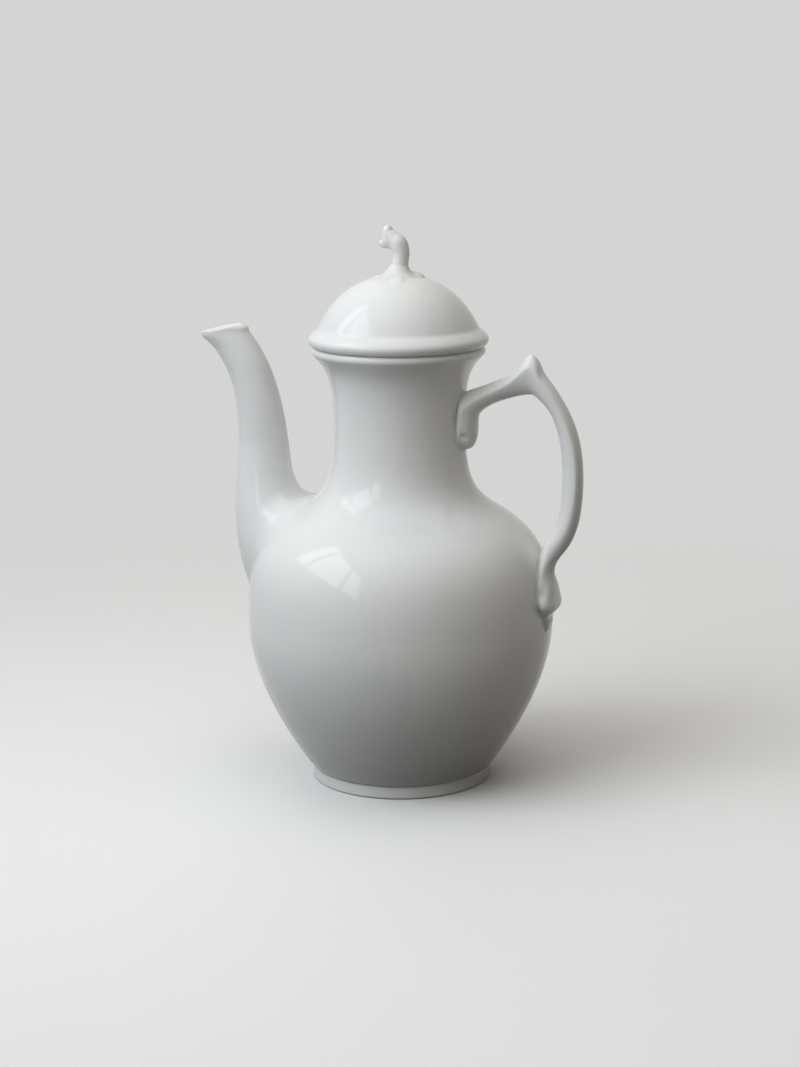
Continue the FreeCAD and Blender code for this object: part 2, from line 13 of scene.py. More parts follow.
import bmesh
import bpy
import numpy as np
from mathutils import Matrix
from mathutils.kdtree import KDTree


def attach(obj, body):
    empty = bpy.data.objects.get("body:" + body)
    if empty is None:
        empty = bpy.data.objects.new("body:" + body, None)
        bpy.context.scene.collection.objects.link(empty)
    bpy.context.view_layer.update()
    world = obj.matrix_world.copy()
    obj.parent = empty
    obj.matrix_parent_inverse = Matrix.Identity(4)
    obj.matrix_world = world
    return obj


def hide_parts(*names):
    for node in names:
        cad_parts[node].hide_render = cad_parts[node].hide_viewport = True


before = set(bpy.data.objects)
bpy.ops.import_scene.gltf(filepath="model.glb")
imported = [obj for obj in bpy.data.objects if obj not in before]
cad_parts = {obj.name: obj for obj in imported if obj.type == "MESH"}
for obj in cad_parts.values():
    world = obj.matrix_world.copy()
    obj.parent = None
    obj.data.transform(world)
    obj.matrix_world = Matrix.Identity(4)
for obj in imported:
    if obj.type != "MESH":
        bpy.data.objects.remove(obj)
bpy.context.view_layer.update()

Array = np.ndarray
Numbers = float | Array
Cubic = tuple[Array, Array, Array, Array]
Colour = tuple[float, float, float, float]
Triple = tuple[float, float, float]
Object = bpy.types.Object
Material = bpy.types.Material
Mesh = bpy.types.Mesh

LOG = logging.getLogger("coffee_pot")
MM = 0.001

# Angles of the side view: away from the pot's axis, up, towards the axis and down
OUT = 0.0
UP = 90.0
IN = 180.0
DOWN = -90.0

# How round a section is at an end or a flank: nearly an ellipse, a soft ridge, and a beak
ROUND = 0.55
RIDGED = 0.3
BEAKED = 0.12

# Half a turn about the pot's axis
TURNED = (-1, -1, 1)

# Points closer than this are one, and no length that is divided by is less than this
WELD = 0.002 * MM
TINY = 1e-9

# Middle of what a noise gives, pull of a blend as a share of its length, and points that a search looks at
NOISE_MIDDLE = 0.5
BLEND_PULL = 0.36
SEARCH_POINTS = 400

# How far glaze pooling and painted shade reach on a wall, and how near to the wall and how deep in that
# darkening a point is where pieces meet
POOL_AND_SHADE_REACH = 1.5
CONTACT_GAP = 0.3
CONTACT_POOL_AND_SHADE = 0.5


class Carrier(Enum):
    """Body of the frame that a piece rides on, with the slot of the record that names its finish."""

    POT = ("pot", "glaze_pot")
    LID = ("lid", "glaze_lid")

    @property
    def body(self) -> str:
        """Name of the body."""
        return self.value[0]

    @property
    def slot(self) -> str:
        """Name of the material slot."""
        return self.value[1]


def math_method(name: str, swapped: bool = False) -> Callable[..., "Sock"]:
    """Make a method that adds one Math node.

    Args:
        name: what the node works out.
        swapped: whether the socket's own value comes last instead of first.

    Returns:
        The method, which takes the other values in order.
    """

    def method(self: "Sock", *others: "Sock | float") -> "Sock":
        """Result of the node."""
        values = (*others, self) if swapped else (self, *others)
        return self.desk.out(self.desk.add("ShaderNodeMath", {"operation": name}, dict(enumerate(values))))

    return method


class Sock:
    """Output socket that takes part in arithmetic: each operation adds a Math node to its tree."""

    __add__ = math_method("ADD")
    __radd__ = math_method("ADD", swapped=True)
    __sub__ = math_method("SUBTRACT")
    __rsub__ = math_method("SUBTRACT", swapped=True)
    __mul__ = math_method("MULTIPLY")
    __rmul__ = math_method("MULTIPLY", swapped=True)
    __truediv__ = math_method("DIVIDE")
    __rtruediv__ = math_method("DIVIDE", swapped=True)
    __mod__ = math_method("MODULO")
    __gt__ = math_method("GREATER_THAN")
    floor = math_method("FLOOR")
    sine = math_method("SINE")
    cosine = math_method("COSINE")
    least = math_method("MINIMUM")
    power = math_method("POWER")

    def __init__(self, desk: "Desk", socket: bpy.types.NodeSocket) -> None:
        """Remember the socket and the desk that adds nodes to its tree."""
        self.desk = desk
        self.socket = socket

    def eased(self, low: float, high: float) -> "Sock":
        """Smooth step from zero at one value to one at another."""
        ends = {"Value": self, "From Min": low, "From Max": high}
        return self.desk.out(self.desk.add("ShaderNodeMapRange", {"interpolation_type": "SMOOTHSTEP"}, ends))


class Desk:
    """Adds nodes to one tree and links them."""

    # Places of a Mix node's sockets for colours
    MIX_COLOURS = {"share": 0, "first": 6, "second": 7, "result": 2}

    def __init__(self, tree: bpy.types.NodeTree) -> None:
        """Remember the tree."""
        self.tree = tree

    def add(self, kind: str, settings: dict | None = None, sockets: dict | None = None) -> bpy.types.Node:
        """Add one node.

        Args:
            kind: the node's type name.
            settings: properties of the node, which are set first.
            sockets: a value, or a Sock to link, for each input by its name or place.

        Returns:
            The new node.
        """
        node = self.tree.nodes.new(kind)
        for name, value in (settings or {}).items():
            setattr(node, name, value)
        for name, value in (sockets or {}).items():
            if isinstance(value, Sock):
                self.tree.links.new(value.socket, node.inputs[name])
            else:
                node.inputs[name].default_value = value
        return node

    def out(self, node: bpy.types.Node, name: str | int = 0) -> Sock:
        """One output of a node, by its name or place."""
        return Sock(self, node.outputs[name])

    def mixed(self, share: Sock, first: "Sock | Colour", second: "Sock | Colour") -> Sock:
        """Colour part of the way from one to another.

        Args:
            share: how far, from zero to one.
            first: the colour at zero.
            second: the colour at one.

        Returns:
            The mixed colour.
        """
        place = self.MIX_COLOURS
        sockets = {place["share"]: share, place["first"]: first, place["second"]: second}
        return self.out(self.add("ShaderNodeMix", {"data_type": "RGBA"}, sockets), place["result"])

    def vector(self, operation: str, sockets: dict) -> Sock:
        """Result of one Vector Math node."""
        return self.out(self.add("ShaderNodeVectorMath", {"operation": operation}, sockets))

    def parts(self, vector: Sock) -> tuple[Sock, Sock, Sock]:
        """X, Y and Z of a vector."""
        node = self.add("ShaderNodeSeparateXYZ", sockets={0: vector})
        return self.out(node, 0), self.out(node, 1), self.out(node, 2)

    def joined(self, x: "Sock | float", y: "Sock | float", z: "Sock | float") -> Sock:
        """Vector from its three parts."""
        return self.out(self.add("ShaderNodeCombineXYZ", sockets={0: x, 1: y, 2: z}))

    def noise(self, place: Sock, size: "Sock | float", detail: float = 2.0) -> Sock:
        """Soft noise from zero to one, with features of a given size in metres."""
        sockets = {"Vector": place, "Scale": 1 / size, "Detail": detail}
        return self.out(self.add("ShaderNodeTexNoise", sockets=sockets))


def emptied(owner: "Material | bpy.types.World") -> Desk:
    """Desk for the nodes of a material or a world, which are cleared away first.

    Args:
        owner: the material or world.

    Returns:
        A desk for its empty tree.
    """
    owner.use_nodes = True
    owner.node_tree.nodes.clear()
    return Desk(owner.node_tree)


class GeometryTree(Desk):
    """Geometry Nodes tree with named inputs that makes one piece of the pot."""

    def __init__(self, name: str, inputs: dict[str, str]) -> None:
        """Start a tree.

        Args:
            name: name of the tree.
            inputs: socket type of each input, by its name.
        """
        tree = bpy.data.node_groups.new(name, "GeometryNodeTree")
        tree.interface.new_socket("Geometry", in_out="OUTPUT", socket_type="NodeSocketGeometry")
        for label, kind in {**inputs, "Material": "NodeSocketMaterial"}.items():
            tree.interface.new_socket(label, in_out="INPUT", socket_type=kind)
        super().__init__(tree)
        self.inputs = self.add("NodeGroupInput")

    def given(self, name: str) -> Sock:
        """One of the tree's own inputs."""
        return self.out(self.inputs, name)

    def shape(self, name: str) -> Sock:
        """Geometry of an object that is given as an input."""
        return self.out(self.add("GeometryNodeObjectInfo", sockets={"Object": self.given(name)}), "Geometry")

    def place(self) -> Sock:
        """Position of each point."""
        return self.out(self.add("GeometryNodeInputPosition"))

    def moved(self, geometry: Sock, sockets: dict) -> Sock:
        """Geometry with its points moved."""
        return self.out(self.add("GeometryNodeSetPosition", sockets={"Geometry": geometry, **sockets}))

    def pushed(self, geometry: Sock, rise: Sock) -> Sock:
        """Geometry with its points pushed out along their normals."""
        normal = self.out(self.add("GeometryNodeInputNormal"))
        return self.moved(geometry, {"Offset": self.vector("SCALE", {0: normal, "Scale": rise})})

    def welded(self, geometry: Sock) -> Sock:
        """Geometry with its doubled points merged."""
        return self.out(self.add("GeometryNodeMergeByDistance", sockets={0: geometry, "Distance": WELD}))

    def finish(self, geometry: Sock) -> None:
        """Smooth and dress the geometry and end the tree.

        Args:
            geometry: the finished shape.
        """
        smooth = self.out(self.add("GeometryNodeSetShadeSmooth", sockets={0: geometry}))
        real = self.out(self.add("GeometryNodeRealizeInstances", sockets={0: smooth}))
        sockets = {"Geometry": real, "Material": self.given("Material")}
        dressed = self.out(self.add("GeometryNodeSetMaterial", sockets=sockets))
        self.add("NodeGroupOutput", sockets={0: dressed})

    def mesh(self, name: str, values: dict) -> Object:
        """Plain mesh object that the tree makes.

        Args:
            name: name of the object.
            values: value of each input, by its name.

        Returns:
            The object, at the origin and without a modifier.
        """
        inputs = [item for item in self.tree.interface.items_tree if item.in_out == "INPUT"]
        keys = {item.name: item.identifier for item in inputs}
        carrier = linked(name + "_carrier", bpy.data.meshes.new(name + "_carrier"))
        modifier = carrier.modifiers.new("tree", "NODES")
        modifier.node_group = self.tree
        for label, value in values.items():
            modifier[keys[label]] = value
        made = evaluated(carrier)
        bpy.data.objects.remove(carrier)
        return outward(mesh_object(name, made))


def linked(name: str, data: bpy.types.ID) -> Object:
    """New object at the origin of the scene.

    Args:
        name: name of the object.
        data: what it shows, such as a mesh, a curve or a light.

    Returns:
        The object.
    """
    made = bpy.data.objects.new(name, data)
    bpy.context.scene.collection.objects.link(made)
    return made


def mesh_object(name: str, mesh: Mesh) -> Object:
    """New object that shows a mesh and gives it its name."""
    mesh.name = name
    return linked(name, mesh)


def evaluated(piece: Object) -> Mesh:
    """New mesh of an object as its modifiers leave it."""
    graph = bpy.context.evaluated_depsgraph_get()
    return bpy.data.meshes.new_from_object(piece.evaluated_get(graph))


def poured(name: str, shell: bmesh.types.BMesh) -> Object:
    """New mesh object from a working mesh, which is freed.

    Args:
        name: name of the object and its mesh.
        shell: the working mesh.

    Returns:
        The object.
    """
    mesh = bpy.data.meshes.new(name)
    shell.to_mesh(mesh)
    shell.free()
    return mesh_object(name, mesh)


def outward(piece: Object) -> Object:
    """Weld a closed mesh and turn its faces outwards.

    Args:
        piece: the mesh object, which is changed.

    Returns:
        The same object.
    """
    shell = bmesh.new()
    shell.from_mesh(piece.data)
    bmesh.ops.remove_doubles(shell, verts=shell.verts, dist=WELD)
    bmesh.ops.recalc_face_normals(shell, faces=shell.faces)
    if shell.calc_volume(signed=True) < 0:
        bmesh.ops.reverse_faces(shell, faces=shell.faces)
    for face in shell.faces:
        face.smooth = True
    shell.to_mesh(piece.data)
    shell.free()
    return piece


def vertices(piece: Object) -> Array:
    """Vertices of a mesh object in millimetres.

    Args:
        piece: the mesh object.

    Returns:
        One row of x, y and z for each vertex.
    """
    flat = np.empty(3 * len(piece.data.vertices))
    piece.data.vertices.foreach_get("co", flat)
    return flat.reshape(-1, 3) / MM


def mark_pool_and_shade(piece: Object, amount: Array) -> None:
    """Store how deep the glaze pooling and the painted shade in the creases are at each vertex, from zero to
    one.
    """
    layer = piece.data.attributes.new("pool", "FLOAT", "POINT")
    layer.data.foreach_set("value", np.clip(amount, 0.0, 1.0).astype(np.float32))


def dress(piece: Object, carrier: Carrier, *nodes: str) -> Object:
    """Let a finished piece stand for its nodes and ride on their body.

    Args:
        piece: the finished mesh object.
        carrier: the body that it rides on.
        *nodes: names of the nodes that it stands for.

    Returns:
        The same piece.
    """
    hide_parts(*nodes)
    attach(piece, carrier.body)
    LOG.info("%s: %d faces on %s", piece.name, len(piece.data.polygons), carrier.body)
    return piece


def at(x: float, z: float, y: float = 0.0) -> Array:
    """Point of the side view, with the distance across it last."""
    return np.array((x, y, z), float)


def along(angle: float, run: float) -> Array:
    """Step of a given length at an angle above +X in the side view."""
    turn = math.radians(angle)
    return at(run * math.cos(turn), run * math.sin(turn))


def unit(step: Array) -> Array:
    """Direction of a step."""
    return step / np.linalg.norm(step)


def mix(start: Numbers, end: Numbers, share: Numbers) -> Numbers:
    """Value part of the way from one to another."""
    return start + (end - start) * share


def spaced(count: int) -> Array:
    """Even shares of a run from its start on, without its end."""
    return np.arange(count) / count


def bernstein(shares: Array) -> Array:
    """Weights of a cubic's four control points at each share of it."""
    t = shares[:, None]
    return np.hstack(((1 - t) ** 3, 3 * t * (1 - t) ** 2, 3 * t**2 * (1 - t), t**3))


def sampled(cubic: Cubic, shares: Array) -> Array:
    """Points of a cubic at given shares of it."""
    return bernstein(shares) @ np.array(cubic)


def pairs(near: Cubic, far: Cubic, shares: Array) -> Iterable[tuple[float, Array, Array]]:
    """Each share with the points of two cubics there."""
    return zip(shares, sampled(near, shares), sampled(far, shares))


def straight(start: Array, end: Array) -> Cubic:
    """Straight run drawn as a cubic."""
    return start, start + (end - start) / 3, end - (end - start) / 3, end


def sweep(
    start: Array, start_angle: float, start_run: float, end: Array, end_angle: float, end_run: float,
) -> Cubic:
    """Cubic that leaves and arrives at given angles, pulled along them for given lengths."""
    return start, start + along(start_angle, start_run), end - along(end_angle, end_run), end


def blend(start: Array, start_angle: float, end: Array, end_angle: float) -> Cubic:
    """Cubic that leaves and arrives at given angles, pulled evenly."""
    run = np.linalg.norm(end - start) * BLEND_PULL
    return sweep(start, start_angle, run, end, end_angle, run)


def corner_bend(start: Array, corner: Array, end: Array) -> Cubic:
    """Round bend that leaves and arrives towards a corner."""
    return start, mix(start, corner, ROUND), mix(end, corner, ROUND), end


def rounded(points: Sequence[Array], radius: float) -> list[Cubic]:
    """Straight runs through a row of points, with every corner between them rounded.

    Args:
        points: the row of points.
        radius: how far from its corner a rounding starts and ends.

    Returns:
        The runs and the roundings in order.
    """
    cubics = []
    start = points[0]
    for corner, following in zip(points[1:-1], points[2:]):
        before = corner - unit(corner - start) * radius
        after = corner + unit(following - corner) * radius
        cubics += [straight(start, before), corner_bend(before, corner, after)]
        start = after
    return cubics + [straight(start, points[-1])]


def crossing(start_a: Array, way_a: Array, start_b: Array, way_b: Array) -> Array:
    """Point where two lines of the side view cross.

    Args:
        start_a: a point of the first line.
        way_a: direction of the first line.
        start_b: a point of the second line.
        way_b: direction of the second line.

    Returns:
        The point.
    """
    gap = start_b - start_a
    across = way_a[0] * way_b[2] - way_a[2] * way_b[0]
    return start_a + way_a * ((gap[0] * way_b[2] - gap[2] * way_b[0]) / across)


def offset(cubic: Cubic, distance: float) -> Cubic:
    """Cubic moved to the left of its direction.

    Args:
        cubic: the cubic.
        distance: how far it moves, to the right if it is negative.

    Returns:
        The moved cubic.
    """
    legs = []
    for start, end in zip(cubic, cubic[1:]):
        way = unit(end - start)
        aside = at(-way[2], way[0]) * distance
        legs.append((start + aside, way, end + aside))
    (first, way_1, _), (second, way_2, _), (third, way_3, last) = legs
    return first, crossing(first, way_1, second, way_2), crossing(second, way_2, third, way_3), last


def reverse(cubics: Sequence[Cubic]) -> list[Cubic]:
    """Row of cubics drawn the other way."""
    return [cubic[::-1] for cubic in reversed(cubics)]


def bezier_row(data: bpy.types.Curve, count: int, resolution: int) -> bpy.types.SplineBezierPoints:
    """Points of a new Bezier run of a curve.

    Args:
        data: the curve that gets the run.
        count: number of points.
        resolution: steps between two points.

    Returns:
        The points, not yet placed.
    """
    spline = data.splines.new("BEZIER")
    spline.resolution_u = resolution
    spline.bezier_points.add(count - 1)
    return spline.bezier_points


def profile_curve(name: str, cubics: Sequence[Cubic], resolution: int) -> Object:
    """Curve object along a row of cubics.

    Args:
        name: name of the object.
        cubics: the row, in millimetres.
        resolution: steps along each cubic.

    Returns:
        The object, in metres.
    """
    data = bpy.data.curves.new(name, "CURVE")
    data.dimensions = "3D"
    knots = [cubic[0] for cubic in cubics] + [cubics[-1][3]]
    into = [knots[0]] + [cubic[2] for cubic in cubics]
    onward = [cubic[1] for cubic in cubics] + [knots[-1]]
    row = bezier_row(data, len(knots), resolution)
    for point, knot, left, right in zip(row, knots, into, onward):
        point.handle_left_type = point.handle_right_type = "FREE"
        point.co, point.handle_left, point.handle_right = knot * MM, left * MM, right * MM
    return linked(name, data)


class Wall:
    """Surface of a turned piece that other pieces are luted to."""

    SAMPLES = 160

    def __init__(self, cubics: Sequence[Cubic]) -> None:
        """Sample the outline of the surface, drawn with the clay on its left.

        Args:
            cubics: the outline's cubics in order.
        """
        shares = np.linspace(0, 1, self.SAMPLES)
        points = np.vstack([sampled(cubic, shares[:-1]) for cubic in cubics])[:, (0, 2)]
        ways = np.gradient(points, axis=0)
        self.points = points
        self.normals = np.stack((ways[:, 1], -ways[:, 0]), 1) / np.linalg.norm(ways, axis=1)[:, None]
        self.tree = KDTree(len(points))
        for place, (radius, height) in enumerate(points):
            self.tree.insert((radius, height, 0.0), place)
        self.tree.balance()

    def measure(self, points: Array) -> tuple[Array, Array]:
        """How far points stand off the surface.

        Args:
            points: points in millimetres, in an array of any shape that ends in three.

        Returns:
            The distance of each point, negative inside, and the surface's normal there.
        """
        flat = points.reshape(-1, 3)
        radius = np.maximum(np.hypot(flat[:, 0], flat[:, 1]), TINY)
        place = [self.tree.find((r, z, 0.0))[1] for r, z in zip(radius, flat[:, 2])]
        normal = self.normals[place]
        step = np.stack((radius, flat[:, 2]), 1) - self.points[place]
        out = (flat[:, :2] / radius[:, None]) * normal[:, :1]
        normals = np.hstack((out, normal[:, 1:]))
        return (step * normal).sum(1).reshape(points.shape[:-1]), normals.reshape(points.shape)

    def radius(self, height: float) -> float:
        """Radius of a rising outline at a height."""
        return float(np.interp(height, self.points[:, 1], self.points[:, 0]))

    def point(self, height: float, proud: float) -> Array:
        """Point of the handle's side that stands off the surface at a height."""
        return at(self.radius(height) + proud, height)

    def pooled_and_shaded(self, points: Array, reach: float) -> Array:
        """How deep glaze pooling and painted crease shade are at points, from one on the surface to zero far
        off it.
        """
        return np.exp(-np.abs(self.measure(points)[0]) / reach)


def grid_normals(grid: Array) -> Array:
    """Normals of a skin given as rows of closed sections, pointing away from the sections' middles.

    Args:
        grid: the sections' points, row by row.

    Returns:
        One normal for each point.
    """
    around = np.roll(grid, -1, axis=1) - np.roll(grid, 1, axis=1)
    normals = np.cross(np.gradient(grid, axis=0), around)
    normals /= np.maximum(np.linalg.norm(normals, axis=2, keepdims=True), TINY)
    outwards = (normals * (grid - grid.mean(axis=1, keepdims=True))).sum(2)
    return normals * np.where(outwards.mean(axis=1) < 0, -1.0, 1.0)[:, None, None]


def settle(points: Array, normals: Array, wall: Wall, radius: Numbers, sink: float) -> Array:
    """Ease a luted skin out onto its wall in a fillet.

    Args:
        points: points of the skin, some of them inside the wall.
        normals: the skin's normals there.
        wall: the surface that the skin is luted to.
        radius: radius of the fillet, for all points or for each.
        sink: how deep in the wall the skin may reach.

    Returns:
        The moved points.
    """
    height, wall_normals = wall.measure(points)
    aside = normals - wall_normals * (normals * wall_normals).sum(-1, keepdims=True)
    depth = np.clip(1 - height / radius, 0.0, 1.0)
    reach = radius * (1 - np.sqrt(1 - depth**2))
    moved = points + aside * reach[..., None]
    moved_height, moved_normals = wall.measure(moved)
    wanted = np.maximum(height, -sink)
    return moved + moved_normals * (wanted - moved_height)[..., None]


def grid_object(name: str, grid: Array, ring: bool, material: Material) -> Object:
    """Closed mesh over rows of closed sections.

    Args:
        name: name of the object.
        grid: the sections' points in millimetres, row by row.
        ring: whether the last row joins the first; otherwise both end rows are points.
        material: the finish.

    Returns:
        The object.
    """
    rows, around = grid.shape[:2]
    index = np.arange(rows * around).reshape(rows, around)
    below = index if ring else index[:-1]
    above = np.roll(index, -1, axis=0) if ring else index[1:]
    sides = (below, np.roll(below, -1, axis=1), np.roll(above, -1, axis=1), above)
    faces = np.stack([side.ravel() for side in sides], 1)
    mesh = bpy.data.meshes.new(name)
    mesh.from_pydata((grid.reshape(-1, 3) * MM).tolist(), [], faces.tolist())
    mesh.materials.append(material)
    return outward(mesh_object(name, mesh))


class Spline:
    """Smooth curve through rows of values at given marks."""

    def __init__(self, marks: Array, rows: Array) -> None:
        """Find the bend of the curve at each mark, with straight ends.

        Args:
            marks: rising places along the curve.
            rows: the values at each mark.
        """
        gaps = np.diff(marks)
        slopes = np.diff(rows, axis=0) / gaps[:, None]
        count = len(marks)
        weights = np.eye(count)
        changes = np.zeros_like(rows)
        for place in range(1, count - 1):
            before, after = gaps[place - 1], gaps[place]
            weights[place, place - 1:place + 2] = before, 2 * (before + after), after
            changes[place] = 6 * (slopes[place] - slopes[place - 1])
        self.marks, self.rows = marks, rows
        self.bends = np.linalg.solve(weights, changes)

    def values(self, marks: Array) -> Array:
        """Values of the curve at other marks.

        Args:
            marks: the other marks.

        Returns:
            One row of values for each mark.
        """
        place = np.clip(np.searchsorted(self.marks, marks) - 1, 0, len(self.marks) - 2)
        gap = (self.marks[place + 1] - self.marks[place])[:, None]
        past = marks[:, None] - self.marks[place][:, None]
        left = gap - past
        level = (self.rows[place] * left + self.rows[place + 1] * past) / gap
        bow = self.bends[place] * (left**3 / gap - left * gap)
        bow += self.bends[place + 1] * (past**3 / gap - past * gap)
        return level + bow / 6


@dataclass(frozen=True)
class Station:
    """One section of a skin: its two ends in the side view, its half width and how round it is."""

    near: Array
    far: Array
    half_width: float
    near_round: float = ROUND
    ridge_round: float = ROUND
    far_round: float = ROUND
    ridge_shift: float = 0.0

    def control(self) -> Array:
        """Control points of the section's four quarters, from its near end round over +Y.

        Returns:
            Four control points for each of the quarters.
        """
        middle = (self.near + self.far) / 2
        reach = (self.far - self.near) / 2
        quarters = []
        for end, side in ((-1, 1), (1, 1), (1, -1), (-1, -1)):
            across = at(0, 0, self.half_width * side)
            tip = middle + reach * end
            flank = middle + across + reach * self.ridge_shift
            tip_round = self.near_round if end < 0 else self.far_round
            from_flank = reach * (end - self.ridge_shift) * self.ridge_round
            points = [tip, tip + across * tip_round, flank + from_flank, flank]
            quarters.append(points if end * side < 0 else points[::-1])
        return np.array(quarters)


def ring_points(controls: Array, steps: int) -> Array:
    """Points round each section, from the control points of its quarters.

    Args:
        controls: control points of each section's quarters.
        steps: number of points on each quarter.

    Returns:
        One row of points for each section.
    """
    weights = bernstein(spaced(steps))
    points = np.einsum("sk,rqkc->rqsc", weights, controls)
    return points.reshape(len(controls), -1, 3)


def end_rows(row: Array, way: Array, length: float, steps: int) -> Array:
    """Rows that close a skin in a round end, from a point down to its last section.

    Args:
        row: the last section.
        way: the direction in which the end points.
        length: how far the end stands out.
        steps: number of rows.

    Returns:
        The rows, without the section itself.
    """
    middle = row.mean(axis=0)
    rows = []
    for turn in np.linspace(math.pi / 2, 0, steps, endpoint=False):
        rows.append(middle + (row - middle) * math.cos(turn) + way * (length * math.sin(turn)))
    return np.stack(rows)


@dataclass(frozen=True)
class Glaze:
    """Clear glaze over white porcelain: clouds in its white, glaze pooling with painted shade in the creases,
    specks, ripples and pinholes.
    """

    name: str
    white: Colour = (0.80, 0.80, 0.785, 1.0)
    cloud_white: Colour = (0.765, 0.775, 0.775, 1.0)
    # Greenish grey of glaze pooling at joints, darkened as painted shade in the creases between pieces
    pool_and_shade_tint: Colour = (0.60, 0.625, 0.61, 1.0)
    speck_tint: Colour = (0.36, 0.33, 0.29, 1.0)
    cloud_size: float = 38.0
    cloud_detail: float = 3.0
    cloud_start: float = 0.35
    cloud_end: float = 0.7
    pool_and_shade_share: float = 0.42
    dot_core: float = 0.4
    speck_gap: float = 7.0
    speck_radius: float = 0.22
    speck_rarity: float = 0.86
    speck_share: float = 0.7
    pit_gap: float = 5.0
    pit_radius: float = 0.3
    pit_rarity: float = 0.8
    pit_depth: float = 0.02
    pit_roughness: float = 0.2
    ripple_size: float = 13.0
    ripple_depth: float = 0.06
    peel_size: float = 2.2
    peel_depth: float = 0.004
    roughness: float = 0.04
    roughness_spread: float = 0.05
    refraction: float = 1.52
    seed: float = 0.0
    seed_way: Triple = (1.0, 0.37, 0.71)

    def dots(self, desk: Desk, place: Sock, gap: float, radius: float, rarity: float) -> Sock:
        """Mask of small round dots, some way apart and only in some of the cells they could be in.

        Args:
            desk: where the nodes go.
            place: coordinates of the surface.
            gap: size of a cell.
            radius: radius of a dot.
            rarity: share of the cells that stay empty.

        Returns:
            One inside a dot and zero outside.
        """
        cells = desk.add("ShaderNodeTexVoronoi", sockets={"Vector": place, "Scale": 1 / (gap * MM)})
        chance = desk.parts(desk.out(cells, "Color"))[0]
        near = 1 - desk.out(cells, "Distance").eased(self.dot_core * radius / gap, radius / gap)
        return near * (chance > rarity)

    def material(self) -> Material:
        """Material with the glaze's nodes.

        Returns:
            The material.
        """
        made = bpy.data.materials.new(self.name)
        desk = emptied(made)
        origin = desk.out(desk.add("ShaderNodeTexCoord"), "Object")
        shift = tuple(self.seed * part for part in self.seed_way)
        place = desk.vector("ADD", {0: origin, 1: shift})
        pool = desk.out(desk.add("ShaderNodeAttribute", {"attribute_name": "pool"}), "Fac")
        clouds = desk.noise(place, self.cloud_size * MM, self.cloud_detail)
        specks = self.dots(desk, place, self.speck_gap, self.speck_radius, self.speck_rarity)
        pits = self.dots(desk, place, self.pit_gap, self.pit_radius, self.pit_rarity)
        ripple = desk.noise(place, self.ripple_size * MM)
        peel = desk.noise(place, self.peel_size * MM)
        cloudy = clouds.eased(self.cloud_start, self.cloud_end)
        colour = desk.mixed(cloudy, self.white, self.cloud_white)
        # Darker tint at the joints: partly glaze pooling, partly painted shade in the creases
        colour = desk.mixed(pool * self.pool_and_shade_share, colour, self.pool_and_shade_tint)
        colour = desk.mixed(specks * self.speck_share, colour, self.speck_tint)
        relief = ripple * (self.ripple_depth * MM) + peel * (self.peel_depth * MM)
        relief = relief - pits * (self.pit_depth * MM)
        bump = desk.add("ShaderNodeBump", sockets={"Height": relief, "Distance": 1.0, "Strength": 1.0})
        gloss = self.roughness + clouds * self.roughness_spread + pits * self.pit_roughness
        skin = desk.add("ShaderNodeBsdfPrincipled", sockets={
            "Base Color": colour, "Roughness": gloss, "IOR": self.refraction, "Normal": desk.out(bump),
        })
        desk.add("ShaderNodeOutputMaterial", sockets={"Surface": desk.out(skin)})
        return made


@dataclass(frozen=True)
class Turning:
    """Sweeps an outline of the side view round the pot's axis, a little out of true as on a wheel."""

    segments: int = 224
    resolution: int = 20
    wander: float = 0.08
    wander_size: float = 48.0
    wander_detail: float = 1.0

    def tree(self) -> GeometryTree:
        """Tree that turns a profile curve into a closed skin.

        Returns:
            The tree.
        """
        tree = GeometryTree("turned", {
            "Profile": "NodeSocketObject", "Segments": "NodeSocketInt",
            "Wander": "NodeSocketFloat", "Wander Size": "NodeSocketFloat", "Seed": "NodeSocketFloat",
        })
        curve = {"Curve": tree.shape("Profile")}
        points = tree.out(tree.add("GeometryNodeCurveToPoints", {"mode": "EVALUATED"}, curve), "Points")
        sizes = tree.add("GeometryNodeAttributeDomainSize", {"component": "POINTCLOUD"}, {0: points})
        count = tree.out(sizes, "Point Count")
        columns = {"Vertices X": tree.given("Segments") + 1, "Vertices Y": count}
        grid = tree.out(tree.add("GeometryNodeMeshGrid", sockets=columns), "Mesh")
        index = tree.out(tree.add("GeometryNodeInputIndex"))
        column = (index / count).floor()
        pick = {"Geometry": points, "Value": tree.place(), "Index": index % count}
        radius, _, height = tree.parts(tree.out(tree.add(
            "GeometryNodeSampleIndex", {"data_type": "FLOAT_VECTOR", "domain": "POINT"}, pick,
        )))
        turn = column * math.tau / tree.given("Segments")
        circled = tree.joined(radius * turn.cosine(), radius * turn.sine(), height)
        spun = tree.moved(grid, {"Position": circled})
        shifted = tree.vector("ADD", {0: tree.place(), 1: tree.joined(tree.given("Seed"), 0.0, 0.0)})
        waves = tree.noise(shifted, tree.given("Wander Size"), self.wander_detail)
        rise = (waves - NOISE_MIDDLE) * tree.given("Wander")
        tree.finish(tree.pushed(tree.welded(spun), rise))
        return tree

    def turn(self, name: str, cubics: Sequence[Cubic], material: Material, seed: float) -> Object:
        """Mesh object turned from an outline.

        Args:
            name: name of the object.
            cubics: the outline.
            material: the finish.
            seed: which part of the noise makes it uneven.

        Returns:
            The object.
        """
        profile = profile_curve(name + "_profile", cubics, self.resolution)
        made = self.tree().mesh(name, {
            "Profile": profile, "Segments": self.segments, "Wander": 2 * self.wander * MM,
            "Wander Size": self.wander_size * MM, "Seed": seed, "Material": material,
        })
        bpy.data.objects.remove(profile)
        return made


def share_at(cubic: Cubic, height: float) -> float:
    """Share of a rising cubic at which it reaches a height."""
    shares = np.linspace(0, 1, SEARCH_POINTS)
    return float(np.interp(height, sampled(cubic, shares)[:, 2], shares))


